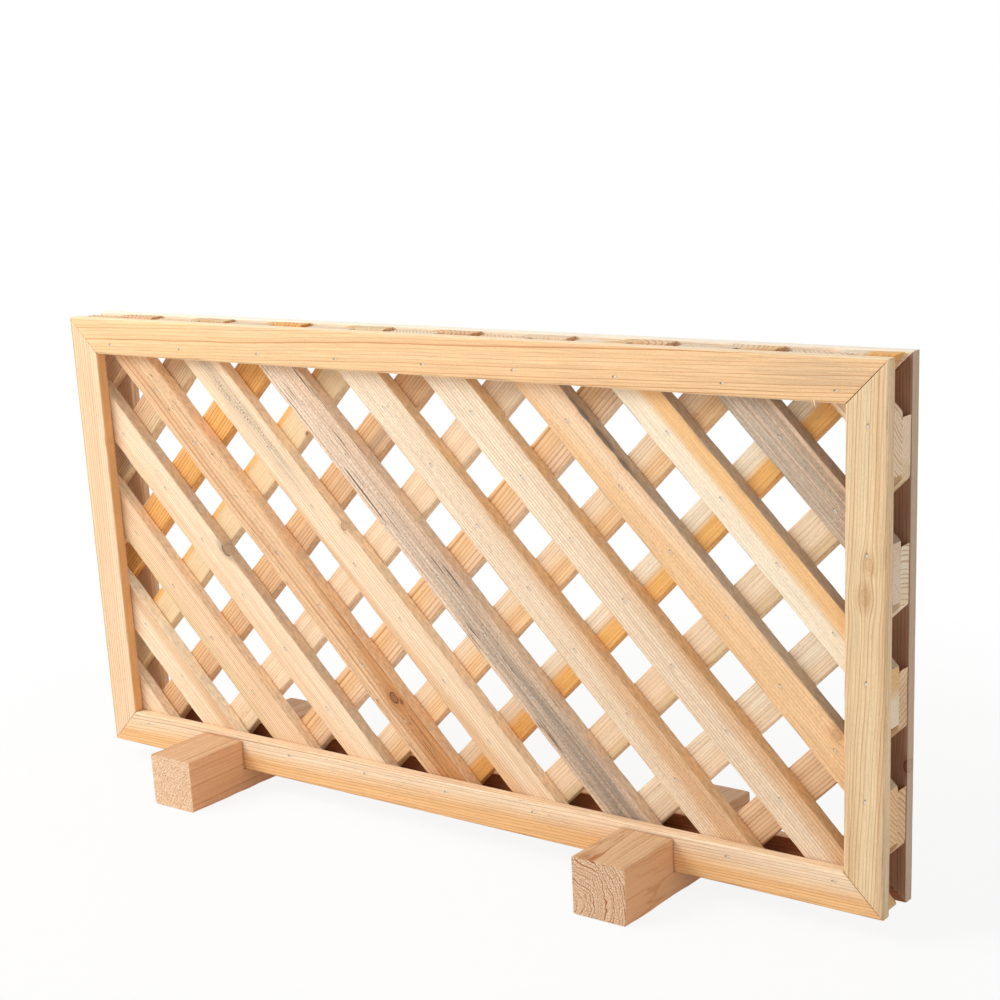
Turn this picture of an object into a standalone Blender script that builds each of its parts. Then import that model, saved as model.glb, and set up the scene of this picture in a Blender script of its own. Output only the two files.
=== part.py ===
"""Freestanding lattice panel.

Two mitred frames, one in front and one behind, hold two layers of crossed slats between them.
The panel's bottom edge sits in the notches of two square timbers, which hold it upright.
Metres, Z up, X along the panel and Y through it. The origin is on the ground under the middle.
"""

import math

import bmesh
import bpy

# Gap kept between pieces that touch, how far a cutter runs past what it cuts, and how near two
# points of a turned shape lie to be one
TOUCH_GAP = 0.0003
CUT_OVERRUN = 0.005
MERGE_DISTANCE = 0.00001

# Panel, outside sizes
PANEL_WIDTH = 0.900
PANEL_HEIGHT = 0.450

# Frame rails
RAIL_WIDTH = 0.0355
RAIL_THICKNESS = 0.012
RAIL_EDGE_RADIUS = 0.002

# Slats: a layer shares out the run from corner to corner, with this share of a space before its
# first slat and after its last. A shift is where the layer's middle slat crosses half height, to
# the right of the panel's middle
SLAT_WIDTH = 0.0345
SLAT_THICKNESS = 0.014
SLAT_EDGE_RADIUS = 0.001
SLAT_COUNT = 13
CORNER_SPACE_SHARE = 0.75
SLAT_ANGLE = math.radians(45)
SLAT_END_INSET = 0.001
FRONT_LAYER_SHIFT = 0.0072
BACK_LAYER_SHIFT = -0.0045

# Stands: square timbers across the panel, notched to take its bottom edge
STAND_LENGTH = 0.205
STAND_WIDTH = 0.054
STAND_HEIGHT = 0.053
STAND_EDGE_RADIUS = 0.0015
NOTCH_DEPTH = 0.0313
NOTCH_PLAY = 0.001
LEFT_STAND_X = -0.2845
RIGHT_STAND_X = 0.2275

# Nails: they pass through a rail into the end of a slat, on a line inside the rail's outer edge
NAIL_LENGTH = 0.024
NAIL_POINT_LENGTH = 0.002
NAIL_SHANK_RADIUS = 0.0007
NAIL_HEAD_RADIUS = 0.001
NAIL_HEAD_THICKNESS = 0.0006
NAIL_HEAD_SINK = 0.0004
NAIL_LINE_FROM_ENDS = 0.0255
NAIL_LINE_FROM_SIDES = 0.0165
NAIL_TO_MITRE = 0.010

# Facets of a rounded edge and of a round nail
EDGE_SEGMENTS = 3
NAIL_SIDES = 10

# Worked out from the sizes above
PANEL_THICKNESS = 2 * (RAIL_THICKNESS + SLAT_THICKNESS) + 3 * TOUCH_GAP
PANEL_BASE_Z = STAND_HEIGHT - NOTCH_DEPTH + TOUCH_GAP
RAIL_Y = (PANEL_THICKNESS - RAIL_THICKNESS) / 2
SLAT_Y = (SLAT_THICKNESS + TOUCH_GAP) / 2
FRONT = -1
BACK = 1

# Wood tones as linear colours. A layer's slats are toned from its bottom corner to its top one
WOOD_TONES = {
    "cream": (0.87, 0.62, 0.34),
    "tan": (0.74, 0.44, 0.22),
    "orange": (0.83, 0.47, 0.17),
    "grey": (0.50, 0.42, 0.33),
    "stand": (0.72, 0.44, 0.25),
}
FRONT_SLAT_TONES = ("cream", "cream", "tan", "cream", "tan", "cream", "grey",
                    "cream", "cream", "orange", "cream", "grey", "cream")
BACK_SLAT_TONES = ("tan", "tan", "cream", "cream", "orange", "tan", "tan",
                   "cream", "tan", "cream", "orange", "tan", "tan")
RAIL_TONES = {"top": "orange", "bottom": "cream", "left": "cream", "right": "cream"}
WOOD_ROUGHNESS = 0.75
NAIL_COLOUR = (0.55, 0.55, 0.56)
NAIL_ROUGHNESS = 0.35


def clear_scene():
    """Remove every object that the file opened with."""
    for obj in list(bpy.data.objects):
        bpy.data.objects.remove(obj, do_unlink=True)


def new_collection(name):
    """A collection under the scene's own."""
    collection = bpy.data.collections.new(name)
    bpy.context.scene.collection.children.link(collection)
    return collection


def make_material(name, colour, roughness, metallic):
    """A Principled material of one colour."""
    material = bpy.data.materials.new(name)
    material.use_nodes = True
    shader = material.node_tree.nodes["Principled BSDF"]
    shader.inputs["Base Color"].default_value = (*colour, 1.0)
    shader.inputs["Roughness"].default_value = roughness
    shader.inputs["Metallic"].default_value = metallic
    material.diffuse_color = (*colour, 1.0)
    return material


def wood_materials():
    """One material for each tone of wood."""
    materials = {}
    for tone, colour in WOOD_TONES.items():
        materials[tone] = make_material(f"{tone}_wood", colour, WOOD_ROUGHNESS, 0.0)
    return materials


def bar_mesh(name, size, long_axis, edge_radius):
    """A box whose four long edges are rounded."""
    mesh = bpy.data.meshes.new(name)
    solid = bmesh.new()
    bmesh.ops.create_cube(solid, size=1.0)
    bmesh.ops.scale(solid, vec=size, verts=solid.verts)
    long_edges = [edge for edge in solid.edges if runs_along(edge, long_axis)]
    rounded = bmesh.ops.bevel(solid, geom=long_edges, offset=edge_radius, segments=EDGE_SEGMENTS,
                              profile=0.5, affect="EDGES")
    for face in rounded["faces"]:
        face.smooth = True
    solid.to_mesh(mesh)
    solid.free()
    return mesh


def runs_along(edge, axis):
    """Whether an edge of a box is parallel to an axis, 0 to 2 for X to Z."""
    direction = (edge.verts[1].co - edge.verts[0].co).normalized()
    return round(abs(direction[axis])) == 1


def box_mesh(name, size):
    """A plain box, centred."""
    mesh = bpy.data.meshes.new(name)
    solid = bmesh.new()
    bmesh.ops.create_cube(solid, size=1.0)
    bmesh.ops.scale(solid, vec=size, verts=solid.verts)
    solid.to_mesh(mesh)
    solid.free()
    return mesh


def profile_mesh(name, points):
    """An open outline in the XZ plane, from the top down, to be turned about Z."""
    mesh = bpy.data.meshes.new(name)
    corners = [(radius, 0.0, height) for radius, height in points]
    edges = [(index, index + 1) for index in range(len(points) - 1)]
    mesh.from_pydata(corners, edges, [])
    return mesh


def place(name, mesh, collection, parent=None, location=(0.0, 0.0, 0.0), rotation=(0.0, 0.0, 0.0)):
    """A new object of this mesh, in its collection."""
    obj = bpy.data.objects.new(name, mesh)
    obj.location = location
    obj.rotation_euler = rotation
    obj.parent = parent
    collection.objects.link(obj)
    return obj


def place_cutter(name, mesh, collection, parent=None, location=(0.0, 0.0, 0.0), rotation=(0.0, 0.0, 0.0)):
    """A cutter: drawn as wire, and left out of renders."""
    cutter = place(name, mesh, collection, parent, location, rotation)
    cutter.display_type = "WIRE"
    cutter.hide_render = True
    return cutter


def place_empty(name, collection, location):
    """An empty that carries the pieces of one body."""
    empty = place(name, None, collection, None, location)
    empty.empty_display_size = RAIL_WIDTH
    return empty


def cut(obj, cutter, operation="DIFFERENCE"):
    """Cut a piece with a cutter, or keep only what lies inside it."""
    modifier = obj.modifiers.new(cutter.name, "BOOLEAN")
    modifier.operation = operation
    modifier.solver = "EXACT"
    modifier.object = cutter


def turn(obj):
    """Turn an outline into a round solid about its own Z axis."""
    modifier = obj.modifiers.new("turned", "SCREW")
    modifier.steps = NAIL_SIDES
    modifier.render_steps = NAIL_SIDES
    modifier.use_merge_vertices = True
    modifier.merge_threshold = MERGE_DISTANCE
    modifier.use_smooth_shade = True


def side_name(side):
    """front or back."""
    return "front" if side == FRONT else "back"


def mitre_cutters(collection, panel):
    """Square blocks at the corners, each with one face on a mitre.

    One block of each pair trims the ends of the top and bottom rails and the other trims the ends
    of the left and right ones. Their faces stand a touching gap apart.
    """
    block = 4 * RAIL_WIDTH
    mesh = box_mesh("mitre_block", (block, PANEL_THICKNESS + 2 * CUT_OVERRUN, block))
    reach = (block - TOUCH_GAP) / 2
    cutters = {}
    for across, across_name in ((-1, "left"), (1, "right")):
        for up, up_name in ((-1, "bottom"), (1, "top")):
            corner_x = across * PANEL_WIDTH / 2
            corner_z = up * PANEL_HEIGHT / 2
            step_x = across * reach * math.sqrt(0.5)
            step_z = up * reach * math.sqrt(0.5)
            for rail, way in ((up_name, 1), (across_name, -1)):
                cutters[rail, up_name, across_name] = place_cutter(
                    f"mitre_{up_name}_{across_name}_of_{rail}_rail", mesh, collection, panel,
                    (corner_x + way * step_x, 0.0, corner_z - way * step_z), (0.0, math.radians(45), 0.0))
    return cutters


def make_rails(parts, panel, cutters, materials):
    """The four rails of both frames, rounded along their edges and mitred at their ends."""
    long_size = (PANEL_WIDTH + 2 * CUT_OVERRUN, RAIL_THICKNESS, RAIL_WIDTH)
    short_size = (RAIL_WIDTH, RAIL_THICKNESS, PANEL_HEIGHT + 2 * CUT_OVERRUN)
    along = bar_mesh("long_rail", long_size, 0, RAIL_EDGE_RADIUS)
    upright = bar_mesh("short_rail", short_size, 2, RAIL_EDGE_RADIUS)
    to_side = (PANEL_WIDTH - RAIL_WIDTH) / 2
    to_end = (PANEL_HEIGHT - RAIL_WIDTH) / 2
    layout = {"top": (along, 0.0, to_end), "bottom": (along, 0.0, -to_end),
              "left": (upright, -to_side, 0.0), "right": (upright, to_side, 0.0)}
    rails = {}
    for side in (FRONT, BACK):
        for rail, (mesh, x, z) in layout.items():
            obj = place(f"{side_name(side)}_{rail}_rail", mesh.copy(), parts, panel, (x, side * RAIL_Y, z))
            obj.data.materials.append(materials[RAIL_TONES[rail]])
            for (trimmed, up_name, across_name), cutter in cutters.items():
                if trimmed == rail:
                    cut(obj, cutter)
            rails[side, rail] = obj
    return rails


def slat_offsets(side):
    """How far each centre line of a layer lies from the panel's middle, square to the slats."""
    run = PANEL_WIDTH * math.sin(SLAT_ANGLE) + PANEL_HEIGHT * math.cos(SLAT_ANGLE)
    spacing = run / (SLAT_COUNT - 1 + 2 * CORNER_SPACE_SHARE)
    shift = FRONT_LAYER_SHIFT if side == FRONT else -BACK_LAYER_SHIFT
    first = shift * math.sin(SLAT_ANGLE) - spacing * (SLAT_COUNT - 1) / 2
    return [first + spacing * index for index in range(SLAT_COUNT)]


def make_slats(parts, cutter_box, panel, materials):
    """Both layers of slats: long rounded bars laid at an angle, trimmed to the frames' outline."""
    length = math.hypot(PANEL_WIDTH, PANEL_HEIGHT) + 2 * CUT_OVERRUN
    mesh = bar_mesh("slat", (length, SLAT_THICKNESS, SLAT_WIDTH), 0, SLAT_EDGE_RADIUS)
    slats = {}
    for side, tones in ((FRONT, FRONT_SLAT_TONES), (BACK, BACK_SLAT_TONES)):
        for index, offset in enumerate(slat_offsets(side)):
            x = -side * offset * math.sin(SLAT_ANGLE)
            z = offset * math.cos(SLAT_ANGLE)
            obj = place(f"{side_name(side)}_slat_{index + 1:02d}", mesh.copy(), parts, panel,
                        (x, side * SLAT_Y, z), (0.0, -side * SLAT_ANGLE, 0.0))
            obj.data.materials.append(materials[tones[index % len(tones)]])
            cut(obj, cutter_box, "INTERSECT")
            slats[side, index] = obj
    return slats


def crossings(side, rail):
    """Where a layer's centre lines cross a rail's nail line: slat number, x and z in the panel.

    They are listed from left to right or from bottom to top, and keep clear of the mitres.
    """
    sine = math.sin(SLAT_ANGLE)
    cosine = math.cos(SLAT_ANGLE)
    lean = -side
    found = []
    for index, offset in enumerate(slat_offsets(side)):
        if rail in ("top", "bottom"):
            z = (PANEL_HEIGHT / 2 - NAIL_LINE_FROM_ENDS) * (1 if rail == "top" else -1)
            x = (offset - z * cosine) / (lean * sine)
            room = PANEL_WIDTH / 2 - NAIL_LINE_FROM_ENDS - NAIL_TO_MITRE
            along = x
        else:
            x = (PANEL_WIDTH / 2 - NAIL_LINE_FROM_SIDES) * (1 if rail == "right" else -1)
            z = (offset - lean * x * sine) / cosine
            room = PANEL_HEIGHT / 2 - NAIL_LINE_FROM_SIDES - NAIL_TO_MITRE
            along = z
        if abs(along) <= room:
            found.append((along, index, x, z))
    return [(index, x, z) for along, index, x, z in sorted(found)]


def nail_outline():
    """A nail from the middle of its head to its point, as radius and height."""
    point_starts = NAIL_POINT_LENGTH - NAIL_LENGTH
    return ((0.0, 0.0), (NAIL_HEAD_RADIUS, 0.0), (NAIL_HEAD_RADIUS, -NAIL_HEAD_THICKNESS),
            (NAIL_SHANK_RADIUS, -NAIL_HEAD_THICKNESS), (NAIL_SHANK_RADIUS, point_starts), (0.0, -NAIL_LENGTH))


def nail_hole_outline():
    """The nail's hole: the nail grown by the touching gap, and open above its head."""
    head = NAIL_HEAD_RADIUS + TOUCH_GAP
    shank = NAIL_SHANK_RADIUS + TOUCH_GAP
    step = -NAIL_HEAD_THICKNESS - TOUCH_GAP
    bottom = -NAIL_LENGTH - TOUCH_GAP
    return ((0.0, CUT_OVERRUN), (head, CUT_OVERRUN), (head, step),
            (shank, step), (shank, bottom), (0.0, bottom))


def make_nails(parts, cutters, panel, rails, slats, material):
    """The outermost nails of each rail, and their holes through the rail into the slat behind."""
    nail = profile_mesh("nail_outline", nail_outline())
    nail.materials.append(material)
    hole = profile_mesh("nail_hole_outline", nail_hole_outline())
    face = PANEL_THICKNESS / 2 - NAIL_HEAD_SINK
    for (side, rail), rail_obj in rails.items():
        ends = ("left", "right") if rail in ("top", "bottom") else ("lower", "upper")
        places = crossings(side, rail)
        for end, (index, x, z) in zip(ends, places[:1] + places[1:][-1:]):
            name = f"{side_name(side)}_{rail}_rail_nail_{end}"
            where = (x, side * face, z)
            facing = (-side * math.radians(90), 0.0, 0.0)
            turn(place(name, nail, parts, panel, where, facing))
            drill = place_cutter(f"{name}_hole", hole, cutters, panel, where, facing)
            turn(drill)
            cut(rail_obj, drill)
            cut(slats[side, index], drill)


def make_stands(parts, cutters, material):
    """The two timbers, rounded along their length and notched for the panel."""
    timber = bar_mesh("stand", (STAND_WIDTH, STAND_LENGTH, STAND_HEIGHT), 1, STAND_EDGE_RADIUS)
    timber.materials.append(material)
    notch = box_mesh("notch", (STAND_WIDTH + 2 * CUT_OVERRUN, PANEL_THICKNESS + 2 * NOTCH_PLAY,
                               NOTCH_DEPTH + CUT_OVERRUN))
    notch_z = STAND_HEIGHT - (NOTCH_DEPTH - CUT_OVERRUN) / 2
    for name, x in (("left_stand", LEFT_STAND_X), ("right_stand", RIGHT_STAND_X)):
        stand = place(name, timber.copy(), parts, None, (x, 0.0, STAND_HEIGHT / 2))
        cut(stand, place_cutter(f"{name}_notch", notch, cutters, None, (x, 0.0, notch_z)))


def build():
    """The whole object."""
    clear_scene()
    parts = new_collection("freestanding_lattice_panel")
    cutters = new_collection("cutters")
    materials = wood_materials()
    steel = make_material("nail_steel", NAIL_COLOUR, NAIL_ROUGHNESS, 1.0)
    panel = place_empty("panel_middle", parts, (0.0, 0.0, PANEL_BASE_Z + PANEL_HEIGHT / 2))
    rails = make_rails(parts, panel, mitre_cutters(cutters, panel), materials)
    outline = box_mesh("outline", (PANEL_WIDTH - 2 * SLAT_END_INSET, PANEL_THICKNESS + 2 * CUT_OVERRUN,
                                   PANEL_HEIGHT - 2 * SLAT_END_INSET))
    slats = make_slats(parts, place_cutter("slat_trim", outline, cutters, panel), panel, materials)
    make_nails(parts, cutters, panel, rails, slats, steel)
    make_stands(parts, cutters, materials["stand"])


build()
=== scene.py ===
"""Looks of a freestanding lattice panel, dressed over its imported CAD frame.

Each board takes the place of its CAD solid with a numpy surface of the same size, with worn
arrises, dents at its fasteners and sawn ends. Its wood is solid: growth rings, knots, weathering
and stains are drawn in the board's own along, across and through coordinates, so the face, the
sides and the end grain of a board agree. The CAD's own nails keep their shape. The other nails,
the staples and a few splinters are three kinds of small pieces. Metres, Z up, the frame's own axes.
"""

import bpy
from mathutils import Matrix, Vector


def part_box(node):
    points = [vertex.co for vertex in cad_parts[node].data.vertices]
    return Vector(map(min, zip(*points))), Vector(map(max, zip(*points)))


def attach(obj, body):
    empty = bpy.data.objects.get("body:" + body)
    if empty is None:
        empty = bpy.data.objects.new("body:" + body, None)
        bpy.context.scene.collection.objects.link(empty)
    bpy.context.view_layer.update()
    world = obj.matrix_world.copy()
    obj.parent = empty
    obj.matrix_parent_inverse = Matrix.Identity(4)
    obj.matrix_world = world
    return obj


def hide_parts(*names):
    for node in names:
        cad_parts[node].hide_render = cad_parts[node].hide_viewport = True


bl_info = {
    "name": "Freestanding lattice panel",
    "version": (1, 0, 0),
    "blender": (4, 5, 0),
    "location": "View3D > Sidebar > Lattice panel",
    "description": "Makes the boards, fasteners and stage of a freestanding lattice panel",
    "category": "Object",
}

import math
from dataclasses import dataclass
from types import SimpleNamespace

import bpy
import numpy as np
from mathutils import Matrix

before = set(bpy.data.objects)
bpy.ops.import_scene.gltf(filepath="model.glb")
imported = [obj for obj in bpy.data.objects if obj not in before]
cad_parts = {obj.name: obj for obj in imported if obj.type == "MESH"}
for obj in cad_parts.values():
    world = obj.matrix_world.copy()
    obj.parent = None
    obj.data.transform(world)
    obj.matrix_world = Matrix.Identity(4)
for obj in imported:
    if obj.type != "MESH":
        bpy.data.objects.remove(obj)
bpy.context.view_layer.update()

# Sizes of the frame that the boards are laid out by
PANEL_WIDTH = 0.900
PANEL_HEIGHT = 0.450
PANEL_MIDDLE_Z = 0.247
TOUCH_GAP = 0.0003
RAIL_WIDTH = 0.0355
SLAT_WIDTH = 0.0345
SLAT_THICKNESS = 0.014
SLAT_COUNT = 13
CORNER_SPACE_SHARE = 0.75
SLAT_END_INSET = 0.001
FRONT_LAYER_SHIFT = 0.0072
BACK_LAYER_SHIFT = -0.0045
NAIL_LINE_FROM_ENDS = 0.0255
NAIL_LINE_FROM_SIDES = 0.0165
NAIL_TO_MITRE = 0.010
NAIL_HEAD_SINK = 0.0004
NOTCH_FLOOR = 0.0217
NOTCH_HALF_WIDTH = 0.02745

# The sine of 45 degrees, at which the slats lie
SINE_45 = math.sqrt(0.5)
MILLIMETRE = 0.001
FRONT = -1
BACK = 1
SIDE_NAMES = {FRONT: "front", BACK: "back"}
# Which way each rail lies from the panel's middle, and the rails that lie level
RAILS = {"top": 1, "bottom": -1, "left": -1, "right": 1}
LEVEL_RAILS = ("top", "bottom")
# A distance beyond everything on the panel
FAR_AWAY = 1.0

# How far an end's slant reaches into a board
SLANT_REACH = 0.06
# The wear of an arris: the length of its waves, its mean and its most, and the powers that hold it,
# and the drawing in of the surface, to the arris
WEAR_WAVE = 0.06
USUAL_WEAR = 0.4
MOST_WEAR = 1.2
WEAR_POWER = 9
DRAW_POWER = 4
# The log's edge: the length of its waves, how fast it thins over the face and down the side, and how
# softly it ends
WANE_WAVE = 0.030
WANE_OVER_FACE = 1.7
WANE_DOWN_SIDE = 0.7
WANE_SOFTNESS = 4.5
# Where lines crowd round a nail, and the share of a dent's radius that its slope takes
NAIL_CROWD = np.array([-2.4, -1.6, -1.0, -0.4, 0.4, 1.0, 1.6, 2.4]) * MILLIMETRE
DENT_SLOPE = 0.4

# The seeds of how the nails and the staples stray off their marks
NAIL_SEED = 11
STAPLE_PLACE_SEED = 5
STAPLE_TURN_SEED = 3
# How far a staple may turn, how much deeper or prouder it may sit, and the shares of its dent that it
# sinks and of its wire that stands out
STAPLE_TURN = 0.35
STAPLE_LIFT = (-0.00010, 0.00016)
STAPLE_SINK = 0.6
STAPLE_PROUD = 0.35
# How many points go round a nail
NAIL_SIDES = 10

# The material slots of each layer's slats, from its bottom corner to its top one
SLAT_SLOTS = {
    FRONT: "cream cream tan cream tan cream grey cream cream orange cream grey cream".split(),
    BACK: "tan tan cream cream orange tan tan cream tan cream orange tan tan".split(),
}
# The rail whose nail heads are filled over
FILLED_RAIL = (FRONT, "left")
# What a shell's face looks onto
ENDS, SIDES, FACES = 0, 1, 2
# How far apart the noise of two boards lies, along, across and through
SEED_STEPS = (7.31, 3.17, 1.73)
# How strongly the wood's relief shows and how deep it is, and how much the wood shines
BUMP_STRENGTH = 0.6
BUMP_DEPTH = 0.0004
WOOD_SPECULAR = 0.35


def screen(red, green, blue):
    """A colour given as screen values from 0 to 255, as the linear colour that a socket takes."""
    shares = [value / 255 for value in (red, green, blue)]
    return tuple(s / 12.92 if s <= 0.04045 else ((s + 0.055) / 1.055) ** 2.4 for s in shares)


def unit(vector):
    """A vector of the same direction and a length of 1."""
    return np.array(vector) / np.linalg.norm(vector)


def in_metres(values):
    """Millimetres as metres."""
    return tuple(value * MILLIMETRE for value in values)


# Settings


def colour_setting(name, description, default):
    """A colour property."""
    return bpy.props.FloatVectorProperty(name=name, description=description, default=screen(*default),
                                         subtype="COLOR", size=3, min=0.0, max=1.0)


def length_setting(name, description, default):
    """A length property, given in millimetres."""
    return bpy.props.FloatProperty(name=name, description=description, default=default * MILLIMETRE,
                                   unit="LENGTH", min=0.0, precision=5)


def power_setting(name, description, default):
    """A lamp's power."""
    return bpy.props.FloatProperty(name=name, description=description, default=default, unit="POWER", min=0.0)


class LatticeWood(bpy.types.PropertyGroup):
    """Tones of the wood, as the boards' looks name them."""

    pale: colour_setting("Pale", "Fresh pale sapwood", (255, 238, 211))
    cream: colour_setting("Cream", "Most of the planed slats", (255, 230, 197))
    straw: colour_setting("Straw", "Slightly darker planed wood", (252, 219, 182))
    honey: colour_setting("Honey", "Golden wood", (251, 210, 160))
    wheat: colour_setting("Wheat", "Duller yellow wood", (244, 217, 175))
    gold: colour_setting("Gold", "Golden heartwood", (248, 200, 142))
    orange: colour_setting("Orange", "Orange heartwood", (250, 193, 115))
    tan: colour_setting("Tan", "Brown slats", (240, 202, 160))
    brown: colour_setting("Brown", "Darkest brown streaks", (208, 152, 98))
    rose: colour_setting("Rose", "Pinkish weathered wood", (242, 214, 186))
    ash: colour_setting("Ash", "Grey weathered wood", (246, 224, 200))
    stand: colour_setting("Stand", "Wood of the two stands", (229, 192, 153))
    late: colour_setting("Late wood", "What a growth ring's dark line multiplies by", (217, 186, 157))
    knot: colour_setting("Knot", "Heart of a knot", (150, 96, 54))
    grime: colour_setting("Grime", "Grey of weather and mould", (156, 145, 130))
    bark: colour_setting("Bark", "Edge of the log left on a slat", (132, 116, 101))
    # Painted shade: the tone that darkens the faces between the frames, where shade falls
    inner: colour_setting("Inner faces", "What wood between the frames is multiplied by", (152, 112, 86))
    stain: colour_setting("Stain", "Dark mark round a fastener", (96, 76, 60))


class LatticeSizes(bpy.types.PropertyGroup):
    """Sizes of the boards' details."""

    station: length_setting("Station", "Distance between cross sections along a board", 3.2)
    strip: length_setting("Strip", "Widest strip of faces along a board", 3.4)
    rail_arris: length_setting("Rail arris", "Radius of a rail's long edges", 2.0)
    slat_arris: length_setting("Slat arris", "Radius of a slat's long edges", 1.0)
    stand_arris: length_setting("Stand arris", "Radius of a stand's long edges", 1.5)
    end_break: length_setting("End break", "How far a sawn end is eased", 0.4)
    wear: length_setting("Wear", "Deepest wear along an arris", 0.45)
    open_mitre: length_setting("Open mitre", "How far the right rails stand off their mitres", 0.35)
    nail_dent: length_setting("Nail dent", "Depth of the dent round a nail", 0.50)
    nail_reach: length_setting("Nail dent reach", "Radius of the dent round a nail", 2.0)
    staple_dent: length_setting("Staple dent", "Depth of the dent under a staple", 0.20)
    staple_reach: length_setting("Staple dent reach", "Radius of the dent under a staple", 2.4)


class LatticeFasteners(bpy.types.PropertyGroup):
    """Sizes and colour of the nails and staples."""

    head_radius: length_setting("Nail head radius", "Radius of a nail's head", 1.0)
    head_thickness: length_setting("Nail head thickness", "Thickness of a nail's head", 0.6)
    shank_radius: length_setting("Nail shank radius", "Radius of a nail's shank", 0.7)
    nail_length: length_setting("Nail length", "Length of a nail with its head", 24.0)
    crown: length_setting("Staple crown", "Width of a staple's crown", 4.0)
    wire_width: length_setting("Wire width", "Width of the staple's flat wire", 0.7)
    wire_thickness: length_setting("Wire thickness", "Thickness of the staple's flat wire", 0.6)
    leg: length_setting("Staple leg", "Length of a staple's legs", 9.0)
    stray: length_setting("Stray", "How far a fastener may sit off its mark", 2.2)
    steel: colour_setting("Steel", "Bright zinc-coated wire", (236, 236, 236))


class LatticeStage(bpy.types.PropertyGroup):
    """The light, the floor and what the camera sees behind the panel."""

    key_power: power_setting("Key light", "Power of the large lamp at the upper left", 50.0)
    fill_power: power_setting("Fill light", "Power of the lamp at the right", 8.0)
    back_power: power_setting("Back light", "Power of the lamp behind the panel", 14.0)
    world_strength: bpy.props.FloatProperty(
        name="World light", description="Strength of the even light all round", default=0.45, min=0.0)
    floor: colour_setting("Floor", "Floor under the panel", (240, 238, 235))
    lens: bpy.props.FloatProperty(
        name="Lens", description="Focal length of the camera", default=0.07036, unit="CAMERA", min=0.001)


# Boards


@dataclass
class Look:
    """How a board's wood looks. Places and widths are in millimetres on the board: along and across
    from the middle of its outline, through from the middle of its thickness towards the front.

    tone and second are names of the wood's settings. band is the side of a line that the second
    tone lies on, where the line is and how soft, and slope is how far it moves across in each
    millimetre along. ring, thick and even are the width of a growth ring, the share of it that is
    its dark line, and how alike the rings are. heart is where their middle lies, across and through,
    and drift how that moves along. wander is how far the rings stray, and curl how much they swirl.
    lines, end_lines, streaks, flecks and tooth are how strongly these show, end_shade how bright a
    sawn end is, pores how rough it looks, and torn how rough the sides are. deepen is painted
    shade where the light falls off along the board: where the wood starts to darken, where it stops,
    and how far it goes. grey, specks and cracks are how much of these there is, and patch where: its
    middle along and across, its reach along and across, and how softly it ends across and along. A
    knot is its place along, across and through, its radius and how dark it is. side is the tone of the
    sides, partly their own sawn wood and partly painted light and shade, and side_share its share.
    inner is how dark the face is that looks onto the slats: painted shade between the frames. wane is
    where the log's edge is left on the upper arris: along, how far both ways, and how deep. square_cut
    is where an end is cut square."""

    tone: str
    second: str = ""
    band: tuple = (1, 0, 4)
    slope: float = 0.0
    ring: float = 2.4
    thick: float = 0.40
    even: float = 0.4
    heart: tuple = (4, -60)
    drift: tuple = (0.0, 0.0)
    wander: float = 2.0
    curl: float = 0.25
    lines: float = 0.6
    end_lines: float = 0.9
    end_shade: float = 0.9
    pores: float = 0.35
    torn: float = 1.0
    deepen: tuple = (0, 1, 0)
    streaks: float = 0.35
    flecks: float = 0.3
    tooth: float = 0.5
    grey: float = 0.0
    patch: tuple = (0, 0, 3000, 60, 6, 50)
    specks: float = 0.0
    cracks: float = 0.0
    knots: tuple = ()
    side: tuple = (255, 255, 255)
    side_share: float = 0.0
    inner: float = 0.0
    wane: tuple = ()
    square_cut: float = 0.0


# A knot so far off that it doesn't show, for a board that has none
NO_KNOT = (3000, 0, 0, 1, 0)
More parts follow.
